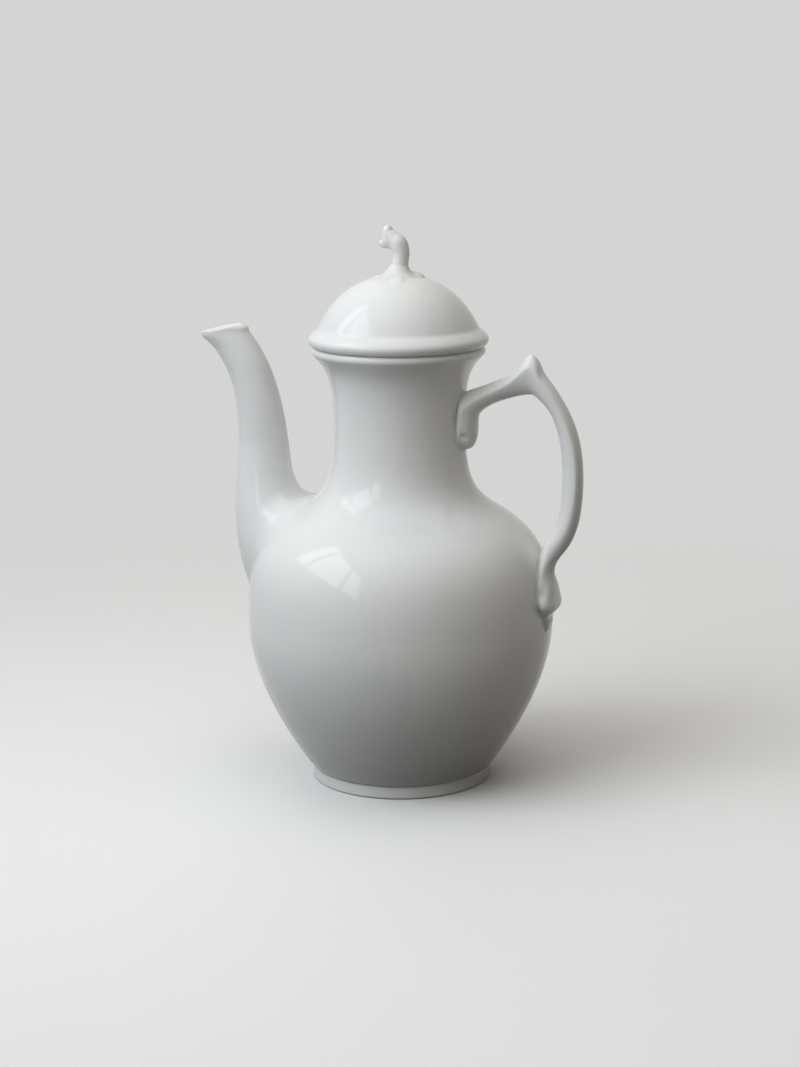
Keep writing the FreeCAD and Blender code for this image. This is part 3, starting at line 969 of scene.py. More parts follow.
def later_part(cubic: Cubic, share: float) -> Cubic:
    """Part of a cubic after a share of it.

    Args:
        cubic: the whole cubic.
        share: where the part starts.

    Returns:
        The part, as a cubic of its own.
    """
    first, second, third, last = cubic
    one, two, three = mix(first, second, share), mix(second, third, share), mix(third, last, share)
    low, high = mix(one, two, share), mix(two, three, share)
    return mix(low, high, share), high, three, last


@dataclass(frozen=True)
class PotBody:
    """Vessel with a round belly, a narrow neck and a rolled lip, bored through into the spout."""

    turning: Turning
    foot_radius: float = 41.5
    foot_height: float = 6.2
    foot_angle: float = 54.5
    foot_run: float = 22.9
    foot_round: float = 0.8
    belly_radius: float = 69.0
    belly_height: float = 74.0
    belly_run_below: float = 24.5
    belly_run_above: float = 29.0
    shoulder_radius: float = 46.0
    shoulder_height: float = 123.4
    shoulder_angle: float = 148.0
    shoulder_run_below: float = 19.5
    shoulder_run_above: float = 15.0
    neck_radius: float = 29.6
    neck_height: float = 163.0
    neck_run_below: float = 25.5
    neck_run_above: float = 23.0
    lip_radius: float = 38.2
    lip_angle: float = 48.0
    lip_run: float = 8.0
    lip_round: float = 2.2
    lip_inner_round: float = 1.0
    rim_height: float = 197.6
    thickness: float = 3.6
    floor_thickness: float = 4.0
    floor_round: float = 3.0
    hole_radius: float = 9.0
    hole_height: float = 106.0
    hole_length: float = 30.0
    hole_segments: int = 64
    seed: float = 1.0

    def outer(self) -> list[Cubic]:
        """Outline of the outside from the foot to the lip.

        Returns:
            The cubics in order.
        """
        lip_drop = self.lip_round * (1 + math.cos(math.radians(self.lip_angle)))
        foot = at(self.foot_radius, self.foot_height)
        belly = at(self.belly_radius, self.belly_height)
        shoulder = at(self.shoulder_radius, self.shoulder_height)
        neck = at(self.neck_radius, self.neck_height)
        lip = at(self.lip_radius, self.rim_height - lip_drop)
        return [
            sweep(foot, self.foot_angle, self.foot_run, belly, UP, self.belly_run_below),
            sweep(belly, UP, self.belly_run_above, shoulder, self.shoulder_angle, self.shoulder_run_below),
            sweep(shoulder, self.shoulder_angle, self.shoulder_run_above, neck, UP, self.neck_run_below),
            sweep(neck, UP, self.neck_run_above, lip, self.lip_angle, self.lip_run),
        ]

    def inner(self) -> list[Cubic]:
        """Outline of the inside from under the floor to the mouth."""
        return [offset(cubic, self.thickness) for cubic in self.outer()]

    def profile(self) -> list[Cubic]:
        """Whole outline, from the axis under the floor round to the axis above it.

        Returns:
            The cubics in order.
        """
        outer, inner = self.outer(), self.inner()
        foot, lip = outer[0][0], outer[-1][3]
        under = at(foot[0] - self.foot_round, self.foot_height)
        # A cubic sets out at three times its first pull, which gives the share that a rounding takes up
        first = later_part(outer[0], self.foot_round / (3 * self.foot_run))
        # A cubic with this pull at both ends follows a round arc
        turn = math.radians(180 - self.lip_angle)
        pull = 4 / 3 * math.tan(turn / 4) * self.lip_round
        flat = lip + along(self.lip_angle + 90, self.lip_round) + at(0, self.lip_round)
        roll = sweep(lip, self.lip_angle, pull, flat, IN, pull)
        mouth = at(inner[-1][3][0], self.rim_height)
        seat_end = mouth + at(self.lip_inner_round, 0)
        throat = later_part(inner[-1][::-1], self.lip_inner_round / (3 * self.lip_run))
        floor_height = self.foot_height + self.floor_thickness
        wall_foot = later_part(inner[0], share_at(inner[0], floor_height + self.floor_round))
        floor_edge = at(wall_foot[0][0] - self.floor_round, floor_height)
        floor_share = share_at(inner[0], floor_height)
        floor_corner = at(sampled(inner[0], np.array([floor_share]))[0, 0], floor_height)
        return [
            straight(at(0, self.foot_height), under), corner_bend(under, foot, first[0]), first, *outer[1:],
            roll, straight(flat, seat_end), corner_bend(seat_end, mouth, throat[0]), throat,
            *reverse([wall_foot] + inner[1:-1]),
            corner_bend(wall_foot[0], floor_corner, floor_edge), straight(floor_edge, at(0, floor_height)),
        ]

    def wall(self) -> Wall:
        """Outside of the vessel, for the pieces luted to it."""
        return Wall(self.outer())

    def bore(self, piece: Object) -> None:
        """Cut the pour hole through the wall behind the spout's root.

        Args:
            piece: the turned vessel, which is changed.
        """
        radius = self.wall().radius(self.hole_height)
        lean = Matrix.Rotation(math.radians(self.shoulder_angle - 90), 4, "Y").inverted()
        centre = Matrix.Translation((-radius * MM, 0, self.hole_height * MM))
        shell = bmesh.new()
        size = self.hole_radius * MM
        bmesh.ops.create_cone(
            shell, cap_ends=True, segments=self.hole_segments, radius1=size, radius2=size,
            depth=self.hole_length * MM, matrix=centre @ lean,
        )
        cutter = poured("pour_hole", shell)
        cut = piece.modifiers.new("bore", "BOOLEAN")
        cut.operation, cut.solver, cut.object = "DIFFERENCE", "EXACT", cutter
        bored = evaluated(piece)
        piece.modifiers.clear()
        piece.data = bored
        bpy.data.objects.remove(cutter)
        outward(piece)

    def build(self, material: Material) -> Object:
        """Make the vessel.

        Args:
            material: the finish.

        Returns:
            The dressed piece.
        """
        piece = self.turning.turn("porcelain_body", self.profile(), material, self.seed)
        self.bore(piece)
        return dress(piece, Carrier.POT, "pot_body")


@dataclass(frozen=True)
class FootRing:
    """Low ring that the vessel stands on, splayed a little towards the table."""

    turning: Turning
    height: float
    sole_radius: float = 41.0
    top_radius: float = 40.5
    width: float = 5.5
    edge_round: float = 1.1
    seed: float = 2.0

    def build(self, material: Material) -> Object:
        """Make the ring.

        Args:
            material: the finish.

        Returns:
            The dressed piece.
        """
        inner = self.sole_radius - self.width
        start = at(inner, self.height / 2)
        sole, top = at(self.sole_radius, 0), at(self.top_radius, self.height)
        corners = [start, at(inner, 0), sole, top, at(inner, self.height), start]
        outline = rounded(corners, self.edge_round)
        piece = self.turning.turn("foot_ring_skin", outline, material, self.seed)
        return dress(piece, Carrier.POT, "foot_ring")


@dataclass(frozen=True)
class Spout:
    """Hollow upright spout with a wide root in the belly, a narrow throat and a beak lip."""

    # Where round the root its fillet changes, from the front at zero to the back at one
    FILLET_MARKS: ClassVar[tuple[float, ...]] = (0.0, 0.38, 0.7, 0.9, 1.0)

    tip_reach: float = 94.8
    tip_height: float = 201.0
    tip_angle: float = 38.0
    back_reach: float = 73.2
    back_height: float = 205.5
    back_angle: float = 50.0
    mouth_run: float = 19.0
    mouth_half_width: float = 8.2
    lip: float = 2.6
    throat_reach: float = 65.4
    throat_height: float = 154.0
    throat_depth: float = 22.8
    throat_half_width: float = 10.6
    throat_back_angle: float = 82.0
    throat_run: float = 19.5
    crotch_run: float = 16.5
    root_bottom: float = 77.0
    root_angle: float = 60.0
    root_run: float = 34.0
    root_top: float = 124.2
    root_top_angle: float = 15.0
    root_depth: float = 6.0
    lute_depth: float = 2.0
    root_half_width: float = 26.0
    flare: float = 1.4
    thickness: float = 2.8
    undercut: float = 0.35
    undercut_share: float = 0.86
    undercut_spread: float = 0.08
    root_fillet: float = 1.5
    side_fillet: float = 12.0
    crotch_fillet: float = 3.5
    corner_trim: float = 2.0
    corner_spread: float = 0.16
    # Height under which the root's joint is darkened with painted shade, and how far that fades
    crease_shade_top: float = 112.0
    crease_shade_fade: float = 9.0
    sink: float = 1.2
    quarter_steps: int = 26
    lower_rows: int = 220
    upper_rows: int = 90
    sunk_rows: int = 8
    risen_rows: int = 250
    rim_rows: int = 12
    rim_rise: float = 0.4
    pool_and_shade_reach: float = 1.0

    def mouth(self) -> tuple[Array, Array, Array]:
        """Back and tip of the mouth, and the direction out of it.

        Returns:
            Two points and a direction of the side view.
        """
        tip, back = at(self.tip_reach, self.tip_height), at(self.back_reach, self.back_height)
        across = unit(back - tip)
        return back, tip, at(across[2], -across[0])

    def runs(self, wall: Wall) -> tuple[tuple[Cubic, Cubic], tuple[Cubic, Cubic]]:
        """Back and front edges from the root to the throat, and from the throat to the lip.

        Args:
            wall: the vessel's outside.

        Returns:
            The lower and the upper pair of cubics, each with the back first.
        """
        half_depth = self.throat_depth / 2
        root_front = wall.point(self.root_bottom, -self.lute_depth)
        root_back = wall.point(self.root_top, -self.root_depth)
        front = at(self.throat_reach + half_depth, self.throat_height)
        back = at(self.throat_reach - half_depth, self.throat_height)
        mouth_back, mouth_tip, out = self.mouth()
        lip_back, lip_tip = mouth_back - out * self.lip, mouth_tip - out * self.lip
        lean, run = self.throat_back_angle, self.throat_run
        lower = (
            sweep(root_back, self.root_top_angle, self.crotch_run, back, lean, self.crotch_run),
            sweep(root_front, self.root_angle, self.root_run, front, UP, run),
        )
        upper = (
            sweep(back, lean, run, lip_back, self.back_angle, self.mouth_run),
            sweep(front, UP, run, lip_tip, self.tip_angle, self.mouth_run),
        )
        return lower, upper

    def stations(self, wall: Wall, inset: float, undercut: float) -> list[Station]:
        """Sections from the root to the lip, drawn in all round.

        Args:
            wall: the vessel's outside.
            inset: how far the whole skin is drawn in.
            undercut: how much farther its front is drawn in under the lip.

        Returns:
            The sections in order.
        """
        lower, upper = self.runs(wall)
        places = []
        for share, back, front in pairs(*lower, np.linspace(0, 1, self.lower_rows, endpoint=False)):
            half_width = mix(self.throat_half_width, self.root_half_width, (1 - share) ** self.flare)
            places.append((back, front, half_width, ROUND, 0.0))
        for share, back, front in pairs(*upper, np.linspace(0, 1, self.upper_rows)):
            half_width = mix(self.throat_half_width, self.mouth_half_width, share)
            dip = undercut * math.exp(-(((share - self.undercut_share) / self.undercut_spread) ** 2))
            places.append((back, front, half_width, mix(ROUND, BEAKED, share**2), dip))
        sections = []
        for back, front, half_width, beak, dip in places:
            way = unit(front - back)
            width = half_width - inset - dip / 2
            sections.append(Station(back + way * inset, front - way * (inset + dip), width, far_round=beak))
        return sections

    def crowded(self, grid: Array, wall: Wall, trim: Array) -> Array:
        """Skin in new rows, which crowd where it leaves the wall.

        Args:
            grid: evenly spaced rows of sections.
            wall: the vessel's outside.
            trim: how much each lengthwise line loses at its top.

        Returns:
            The new rows of points.
        """
        height = wall.measure(grid)[0]
        lines = np.arange(grid.shape[1])
        last = len(grid) - 1 - np.argmax(height[::-1] < 0, axis=0)
        low, high = height[last, lines], height[last + 1, lines]
        leaves = last + low / (low - high)
        top = len(grid) - 1 - trim / np.linalg.norm(grid[-1] - grid[-2], axis=1)
        sunk = np.linspace(0, 1, self.sunk_rows, endpoint=False)[:, None]
        risen = np.linspace(0, 1, self.risen_rows)[:, None] ** 2
        places = np.vstack((leaves * sunk, leaves + (top - leaves) * risen))
        before = np.minimum(places.astype(int), len(grid) - 2)
        share = (places - before)[..., None]
        return mix(grid[before, lines], grid[before + 1, lines], share)

    def skin(self, wall: Wall, inset: float, undercut: float, trim: float) -> Array:
        """Rows of points of one skin, turned onto -X and settled on the vessel.

        Args:
            wall: the vessel's outside.
            inset: how far the skin is drawn in.
            undercut: how much farther its front is drawn in under the lip.
            trim: how much it loses at the back corner of the mouth.

        Returns:
            The rows of points.
        """
        controls = np.array([section.control() for section in self.stations(wall, inset, undercut)])
        even = ring_points(controls, self.quarter_steps) * TURNED
        around = np.linspace(0, math.tau, even.shape[1], endpoint=False)
        backness = (1 + np.cos(around)) / 2
        grid = self.crowded(even, wall, trim * np.exp(-(((1 - backness) / self.corner_spread) ** 2)))
        fillets = (self.root_fillet, self.root_fillet, self.side_fillet, self.side_fillet, self.crotch_fillet)
        fillet = np.broadcast_to(np.interp(backness, self.FILLET_MARKS, fillets), grid.shape[:2])
        return settle(grid, grid_normals(grid), wall, fillet, self.sink)

    def build(self, wall: Wall, material: Material) -> Object:
        """Make the spout.

        Args:
            wall: the vessel's outside.
            material: the finish.

        Returns:
            The dressed piece.
        """
        outer = self.skin(wall, 0.0, self.undercut, self.corner_trim)
        inner = self.skin(wall, self.thickness, 0.0, 0.0)
        out = self.mouth()[2] * TURNED
        rise = self.rim_rise * self.thickness
        lift = out * (self.lip - rise)
        outer_edge, inner_edge = outer[-1] + lift, inner[-1] + lift
        turns = np.linspace(0, math.pi, self.rim_rows)
        middle, half = (outer_edge + inner_edge) / 2, (outer_edge - inner_edge) / 2
        rim = np.stack([middle + half * math.cos(turn) + out * (rise * math.sin(turn)) for turn in turns])
        piece = grid_object("spout_skin", np.vstack((outer, rim, inner[::-1])), True, material)
        points = vertices(piece)
        # Painted shade in the lower crease under the spout's root, with glaze pooling along the joint
        crease_shade = np.clip((self.crease_shade_top - points[:, 2]) / self.crease_shade_fade, 0.0, 1.0)
        mark_pool_and_shade(piece, wall.pooled_and_shaded(points, self.pool_and_shade_reach) * crease_shade)
        return dress(piece, Carrier.POT, "spout")


@dataclass(frozen=True)
class Relief:
    """Soft swell or dent on a flank: its place and spread off the wall and up, and how far it stands out."""

    proud: float
    proud_spread: float
    height: float
    height_spread: float
    rise: float
    height_power: float = 4.0

    def lift(self, proud: Array, height: Array) -> Array:
        """How far it lifts points at these places.

        Args:
            proud: how far each point stands off the wall.
            height: height of each point.

        Returns:
            The lift of each point.
        """
        outward_part = ((proud - self.proud) / self.proud_spread) ** 2
        upright_part = np.abs((height - self.height) / self.height_spread) ** self.height_power
        return self.rise * np.exp(-outward_part - upright_part)


@dataclass(frozen=True)
class Lobe:
    """Section of the scroll: its height, how far it stands off the belly and its half width."""

    height: float
    proud: float
    half_width: float


@dataclass(frozen=True)
class Handle:
    """Solid ridged handle: a pad on the neck, an arm, a thumb spur, a grip, a knee and a scroll."""

    pad_proud: float = 7.1
    pad_foot_proud: float = 1.2
    pad_bottom: float = 152.2
    pad_top: float = 166.0
    pad_run: float = 8.0
    pad_turn: float = 0.78
    pad_half_width: float = 9.4
    pad_foot_half_width: float = 3.0
    pad_swell: float = 1.35
    pad_root_depth: float = 6.0
    pad_sections: int = 4
    arm_root: float = 175.9
    arm_root_angle: float = 36.0
    arm_turn_run: float = 5.5
    arm_run: float = 11.0
    arm_shift: float = 0.3
    arm_taper: float = 0.6
    arm_sections: int = 4
    half_width: float = 5.2
    spur_reach: float = 61.0
    spur_height: float = 195.6
    spur_depth: float = 17.6
    spur_step: float = 1.5
    spur_drop: float = 0.8
    spur_back_angle: float = 70.0
    spur_front_angle: float = -63.0
    spur_front_run: float = 16.0
    corner_shift: float = -0.6
    corner_back_angle: float = 10.0
    corner_front_angle: float = -27.0
    corner_run: float = 10.5
    reach: float = 84.5
    grip_height: float = 141.5
    grip_depth: float = 9.4
    grip_run_above: float = 30.0
    gap_run_above: float = 21.0
    grip_run_below: float = 18.0
    grip_shift: float = 0.45
    grip_sections: int = 7
    shank_sections: int = 4
    knee_inset: float = 9.0
    knee_height: float = 107.3
    knee_angle: float = 49.0
    knee_run: float = 9.0
    knee_shift: float = -0.1
    knee_depth: float = 9.2
    knee_lean: float = 22.0
    waist_height: float = 97.5
    waist_proud: float = 5.1
    waist_half_width: float = 8.9
    waist_root_height: float = 96.5
    waist_root_depth: float = 2.5
    end_length: float = 1.2
    scroll_root_depth: float = 2.5
    lute_depth: float = 2.0
    grip_round: float = 0.5
    root_round: float = 0.12
    scroll_round: float = 0.7
    scroll_foot_round: float = 0.9
    fillet: float = 1.0
    pool_and_shade_reach: float = 1.4
    row_steps: int = 12
    quarter_steps: int = 24
    # Below the waist: top, middle and end of the bulb, the crease, the drop and its end
    lobes: tuple[Lobe, ...] = (
        Lobe(93.5, 4.9, 10.2),
        Lobe(87.5, 5.0, 11.8),
        Lobe(82.6, 4.75, 10.2),
        Lobe(79.2, 1.7, 7.8),
        Lobe(76.0, 1.6, 6.2),
        Lobe(73.2, 0.8, 4.3),
    )
    # Rim, trough, notch and lobe of the pad, then trough, neck and ball of the scroll
    flank_reliefs: tuple[Relief, ...] = (
        Relief(1.8, 1.3, 167.5, 8.2, 1.1),
        Relief(4.4, 1.4, 166.0, 6.8, -0.5),
        Relief(3.9, 1.2, 159.2, 1.3, -1.0),
        Relief(3.9, 2.2, 155.3, 2.2, 0.5),
        Relief(3.9, 2.1, 93.3, 5.3, -1.1, 2.0),
        Relief(1.6, 1.8, 90.9, 1.8, -0.75, 2.0),
        Relief(2.2, 2.2, 85.6, 3.2, 1.6, 2.0),
    )

    def pad(self, wall: Wall) -> list[Station]:
        """Sections of the pad on the neck, from its narrow foot up.

        Args:
            wall: the vessel's outside.

        Returns:
            The sections in order.
        """
        foot = wall.point(self.pad_bottom, self.pad_foot_proud)
        top = wall.point(self.pad_top, self.pad_proud)
        foot_wall = wall.point(self.pad_bottom, -self.pad_root_depth)
        root = wall.point(self.arm_root, -self.lute_depth)
        turn_run = (self.pad_proud - self.pad_foot_proud) * self.pad_turn
        gap = sweep(foot, OUT, turn_run, top, UP, self.pad_run)
        back = sweep(foot_wall, UP, self.pad_run, root, UP, self.pad_run)
        stations = []
        for share, near, far in pairs(gap, back, spaced(self.pad_sections)):
            swell = math.sin(math.pi / 2 * min(1.0, share * self.pad_swell))
            width = mix(self.pad_foot_half_width, self.pad_half_width, swell)
            stations.append(Station(near, far, width, ROUND, RIDGED, ROUND))
        return stations

    def spur(self) -> list[tuple[Array, Array]]:
        """Gap corner and ridge of the handle behind the spur's tip, at it and before it.

        Returns:
            Three pairs of points.
        """
        tip = at(self.spur_reach, self.spur_height)
        corner = at(self.spur_reach + self.corner_shift, self.spur_height - self.spur_depth)
        places = []
        for side in (-1, 0, 1):
            ridge = tip + at(side * self.spur_step, -abs(side) * self.spur_drop)
            places.append((corner + at(side * self.spur_step / 2, 0), ridge))
        return places

    def arm(self, wall: Wall) -> list[Station]:
        """Sections of the arm that climbs from the pad to the spur, and of the spur.

        Args:
            wall: the vessel's outside.

        Returns:
            The sections in order.
        """
        top = wall.point(self.pad_top, self.pad_proud)
        root = wall.point(self.arm_root, -self.lute_depth)
        places = self.spur()
        corner, spur = places[0]
        gap = sweep(top, UP, self.arm_turn_run, corner, self.corner_back_angle, self.arm_run)
        ridge = sweep(root, self.arm_root_angle, self.arm_run, spur, self.spur_back_angle, self.arm_run)
        stations = []
        for share, near, far in pairs(gap, ridge, spaced(self.arm_sections)):
            width = mix(self.pad_half_width, self.half_width, share**self.arm_taper)
            flank = mix(RIDGED, self.grip_round, share)
            tip = mix(self.root_round, self.grip_round, share)
            stations.append(Station(near, far, width, ROUND, flank, tip, self.arm_shift * share))
        for near, far in places[:2]:
            section = Station(near, far, self.half_width, ROUND, self.grip_round, RIDGED, self.arm_shift)
            stations.append(section)
        return stations

    def bar(self, near: Array, far: Array, half_width: float, shift: float = 0.0) -> Station:
        """Section of the plain bar between the spur and the scroll."""
        return Station(near, far, half_width, ROUND, self.grip_round, self.grip_round, shift)

    def knee(self) -> tuple[Array, Array]:
        """Gap side and outer side of the handle at its knee."""
        outer = at(self.reach - self.knee_inset, self.knee_height)
        return outer + along(self.knee_angle + 90 + self.knee_lean, self.knee_depth), outer

    def grip(self) -> list[Station]:
        """Sections from the front of the spur down the grip to the knee.

        Returns:
            The sections in order.
        """
        corner, spur = self.spur()[2]
        widest = at(self.reach, self.grip_height)
        widest_gap = widest - at(self.grip_depth, 0)
        knee = self.knee()[1]
        upper = sweep(spur, self.spur_front_angle, self.spur_front_run, widest, DOWN, self.grip_run_above)
        upper_gap = sweep(
            corner, self.corner_front_angle, self.corner_run, widest_gap, DOWN, self.gap_run_above,
        )
        lower = sweep(widest, DOWN, self.grip_run_below, knee, self.knee_angle + 180, self.knee_run)
        lower_gap = offset(lower, -self.grip_depth)
        runs = (
            (upper_gap, upper, self.grip_sections, self.arm_shift, self.grip_shift),
            (lower_gap, lower, self.shank_sections, self.grip_shift, self.knee_shift),
        )
        stations = []
        for inner, outer, count, shift, next_shift in runs:
            for share, near, far in pairs(inner, outer, spaced(count)):
                stations.append(self.bar(near, far, self.half_width, mix(shift, next_shift, share)))
        return stations

    def scroll(self, wall: Wall) -> list[Station]:
        """Sections of the knee, the waist and the lobes below it, which are rooted in the belly.

        Args:
            wall: the vessel's outside.

        Returns:
            The sections in order.
        """
        waist_root = wall.point(self.waist_root_height, -self.waist_root_depth)
        waist = wall.point(self.waist_height, self.waist_proud)
        stations = [
            self.bar(*self.knee(), self.half_width, self.knee_shift),
            self.bar(waist_root, waist, self.waist_half_width),
        ]
        rounds = (self.scroll_foot_round, self.scroll_round, self.scroll_round)
        for lobe in self.lobes:
            root = wall.point(lobe.height, -self.scroll_root_depth)
            stations.append(Station(root, wall.point(lobe.height, lobe.proud), lobe.half_width, *rounds))
        return stations

    def skin(self, wall: Wall) -> Array:
        """Rows of points through all sections, with both ends rounded off.

        Args:
            wall: the vessel's outside.

        Returns:
            The rows of points.
        """
        stations = self.pad(wall) + self.arm(wall) + self.grip() + self.scroll(wall)
        controls = np.array([station.control() for station in stations])
        gaps = np.linalg.norm(np.diff(controls[:, :, 0], axis=0), axis=2).sum(1)
        marks = np.concatenate(([0.0], np.cumsum(gaps)))
        places = np.arange((len(marks) - 1) * self.row_steps + 1) / self.row_steps
        fine = np.interp(places, range(len(marks)), marks)
        shaped = Spline(marks, controls.reshape(len(controls), -1)).values(fine)
        grid = ring_points(shaped.reshape(len(fine), *controls.shape[1:]), self.quarter_steps)
        down = at(0, -1)
        start = end_rows(grid[0], down, self.end_length, self.row_steps)
        end = end_rows(grid[-1], down, self.end_length, self.row_steps)
        return np.vstack((start, grid, end[::-1]))

    def carve(self, grid: Array, wall: Wall) -> Array:
        """Skin with the rims, troughs and lobes of the pad and the scroll worked into it.

        Args:
            grid: the plain skin.
            wall: the vessel's outside.

        Returns:
            The carved skin.
        """
        normals = grid_normals(grid)
        proud = wall.measure(grid)[0]
        height = grid[..., 2]
        sideways = np.abs(normals[..., 1])
        rise = sum(relief.lift(proud, height) for relief in self.flank_reliefs) * sideways
        return grid + normals * rise[..., None]

    def build(self, wall: Wall, material: Material) -> Object:
        """Make the handle.

        Args:
            wall: the vessel's outside.
            material: the finish.

        Returns:
            The dressed piece.
        """
        grid = self.carve(self.skin(wall), wall)
        grid = settle(grid, grid_normals(grid), wall, self.fillet, self.lute_depth)
        piece = grid_object("handle_skin", grid, False, material)
        # Glaze pooling and painted shade in the creases where the pad and the scroll meet the wall
        mark_pool_and_shade(piece, wall.pooled_and_shaded(vertices(piece), self.pool_and_shade_reach))
        return dress(piece, Carrier.POT, "handle")


@dataclass(frozen=True)
class Lid:
    """Hollow domed lid with a rolled bead and a collar that drops into the mouth."""

    turning: Turning
    rim_height: float
    seat_radius: float = 37.9
    bead_radius: float = 40.1
    bead_rise: float = 2.7
    ogee_radius: float = 38.2
    ogee_rise: float = 5.9
    ogee_angle: float = 136.0
    dome_radius: float = 35.3
    dome_rise: float = 8.8
    dome_angle: float = 116.0
    dome_foot_run: float = 4.0
    crown_rise: float = 31.5
    crown_run: float = 24.9
    thickness: float = 3.2
    collar_radius: float = 27.95
    collar_depth: float = 11.0
    collar_wall: float = 3.0
    collar_round: float = 0.9
    seed: float = 5.0

    def outer(self) -> list[Cubic]:
        """Outline of the outside, from the seat over the bead to the crown.

        Returns:
            The cubics in order.
        """
        base = self.rim_height
        seat = at(self.seat_radius, base)
        bead = at(self.bead_radius, base + self.bead_rise)
        ogee = at(self.ogee_radius, base + self.ogee_rise)
        dome = at(self.dome_radius, base + self.dome_rise)
        crown = at(0, base + self.crown_rise)
        return [
            blend(seat, OUT, bead, UP),
            blend(bead, UP, ogee, self.ogee_angle),
            blend(ogee, self.ogee_angle, dome, self.dome_angle),
            sweep(dome, self.dome_angle, self.dome_foot_run, crown, IN, self.crown_run),
        ]

    def profile(self) -> list[Cubic]:
        """Whole outline, from the axis under the dome round to the crown.

        Returns:
            The cubics in order.
        """
        outer = self.outer()
        under = offset(outer[-1], self.thickness)
        inner_radius = self.collar_radius - self.collar_wall
        foot = self.rim_height - self.collar_depth
        corners = [
            under[0], at(inner_radius, self.rim_height + self.thickness), at(inner_radius, foot),
            at(self.collar_radius, foot), at(self.collar_radius, self.rim_height), outer[0][0],
        ]
        return reverse([under]) + rounded(corners, self.collar_round) + outer

    def wall(self) -> Wall:
        """Outside of the lid, for the twig."""
        return Wall(self.outer())

    def build(self, material: Material) -> Object:
        """Make the lid."""
        piece = self.turning.turn("lid_skin", self.profile(), material, self.seed)
        return dress(piece, Carrier.LID, "lid")


@dataclass(frozen=True)
class Knot:
    """Place on the twig in the side view, with the twig's radius there."""

    x: float
    z: float
    radius: float


@dataclass(frozen=True)
class Finial:
    """Twig that grows from the crown, forks and ends in two buds."""

    stalk: tuple[Knot, ...] = (
        Knot(0.3, 227.0, 6.0), Knot(0.6, 229.8, 4.9), Knot(0.9, 232.4, 3.8), Knot(1.5, 235.6, 3.55),
        Knot(1.7, 238.6, 3.65), Knot(0.5, 242.2, 4.0), Knot(-1.7, 244.4, 3.3), Knot(-3.4, 245.8, 3.0),
        Knot(-4.3, 247.2, 2.5), Knot(-4.4, 248.1, 2.3), Knot(-4.3, 248.5, 2.05),
    )
    bud: tuple[Knot, ...] = (
        Knot(0.4, 241.8, 3.5), Knot(-2.2, 242.9, 3.1), Knot(-4.4, 242.8, 2.7), Knot(-5.9, 242.5, 2.25),
        Knot(-6.5, 242.4, 2.0),
    )
    fork: tuple[Knot, ...] = (Knot(-4.2, 243.5, 3.0), Knot(-4.5, 245.1, 2.6), Knot(-4.6, 246.7, 2.4))
    voxel: float = 0.2
    step: float = 0.3
    lumps: float = 0.16
    lump_size: float = 3.4
    fillet: float = 4.2
    sink: float = 1.6
    path_resolution: int = 12
    calm_rounds: int = 8
    pool_and_shade_reach: float = 1.4

    def paths(self) -> Object:
        """Curve object with the stalk, the bud's branch and the clay in their fork, thick as the twig.

        Returns:
            The object, in metres.
        """
        data = bpy.data.curves.new("twig_paths", "CURVE")
        data.dimensions = "3D"
        for knots in (self.stalk, self.bud, self.fork):
            for point, knot in zip(bezier_row(data, len(knots), self.path_resolution), knots):
                point.handle_left_type = point.handle_right_type = "AUTO"
                point.co = at(knot.x, knot.z) * MM
                point.radius = knot.radius * MM
        return linked("twig_paths", data)

    def tree(self) -> GeometryTree:
        """Tree that grows a lumpy skin round the paths.

        Returns:
            The tree.
        """
        tree = GeometryTree("twig", {
            "Paths": "NodeSocketObject", "Step": "NodeSocketFloat", "Voxel": "NodeSocketFloat",
            "Lumps": "NodeSocketFloat",
        })
        even = tree.add("GeometryNodeResampleCurve", {"mode": "LENGTH"}, {
            "Curve": tree.shape("Paths"), "Length": tree.given("Step"),
        })
        curve = {"Curve": tree.out(even)}
        points = tree.out(tree.add("GeometryNodeCurveToPoints", {"mode": "EVALUATED"}, curve), "Points")
        volume = tree.add("GeometryNodePointsToVolume", {"resolution_mode": "VOXEL_SIZE"}, {
            "Points": points, "Voxel Size": tree.given("Voxel"),
            "Radius": tree.out(tree.add("GeometryNodeInputRadius")),
        })
        skin = tree.out(tree.add("GeometryNodeVolumeToMesh", sockets={"Volume": tree.out(volume)}))
        calm = tree.add("GeometryNodeBlurAttribute", {"data_type": "FLOAT_VECTOR"}, {
            "Value": tree.place(), "Iterations": self.calm_rounds,
        })
        smooth = tree.moved(skin, {"Position": tree.out(calm)})
        lumps = (tree.noise(tree.place(), self.lump_size * MM) - NOISE_MIDDLE) * tree.given("Lumps")
        tree.finish(tree.pushed(smooth, lumps))
        return tree

    def build(self, dome: Wall, material: Material) -> Object:
        """Make the twig and ease its root onto the dome.

        Args:
            dome: the lid's outside.
            material: the finish.

        Returns:
            The dressed piece.
        """
        paths = self.paths()
        piece = self.tree().mesh("twig_skin", {
            "Paths": paths, "Step": self.step * MM, "Voxel": self.voxel * MM, "Lumps": 2 * self.lumps * MM,
            "Material": material,
        })
        bpy.data.objects.remove(paths)
        normals = np.empty(3 * len(piece.data.vertices))
        piece.data.vertex_normals.foreach_get("vector", normals)
        points = settle(vertices(piece), normals.reshape(-1, 3), dome, self.fillet, self.sink)
        piece.data.vertices.foreach_set("co", (points * MM).ravel())
        piece.data.update()
        # Glaze pooling and painted shade in the crease round the twig's root
        mark_pool_and_shade(piece, dome.pooled_and_shaded(points, self.pool_and_shade_reach))
        return dress(piece, Carrier.LID, "lid_finial")


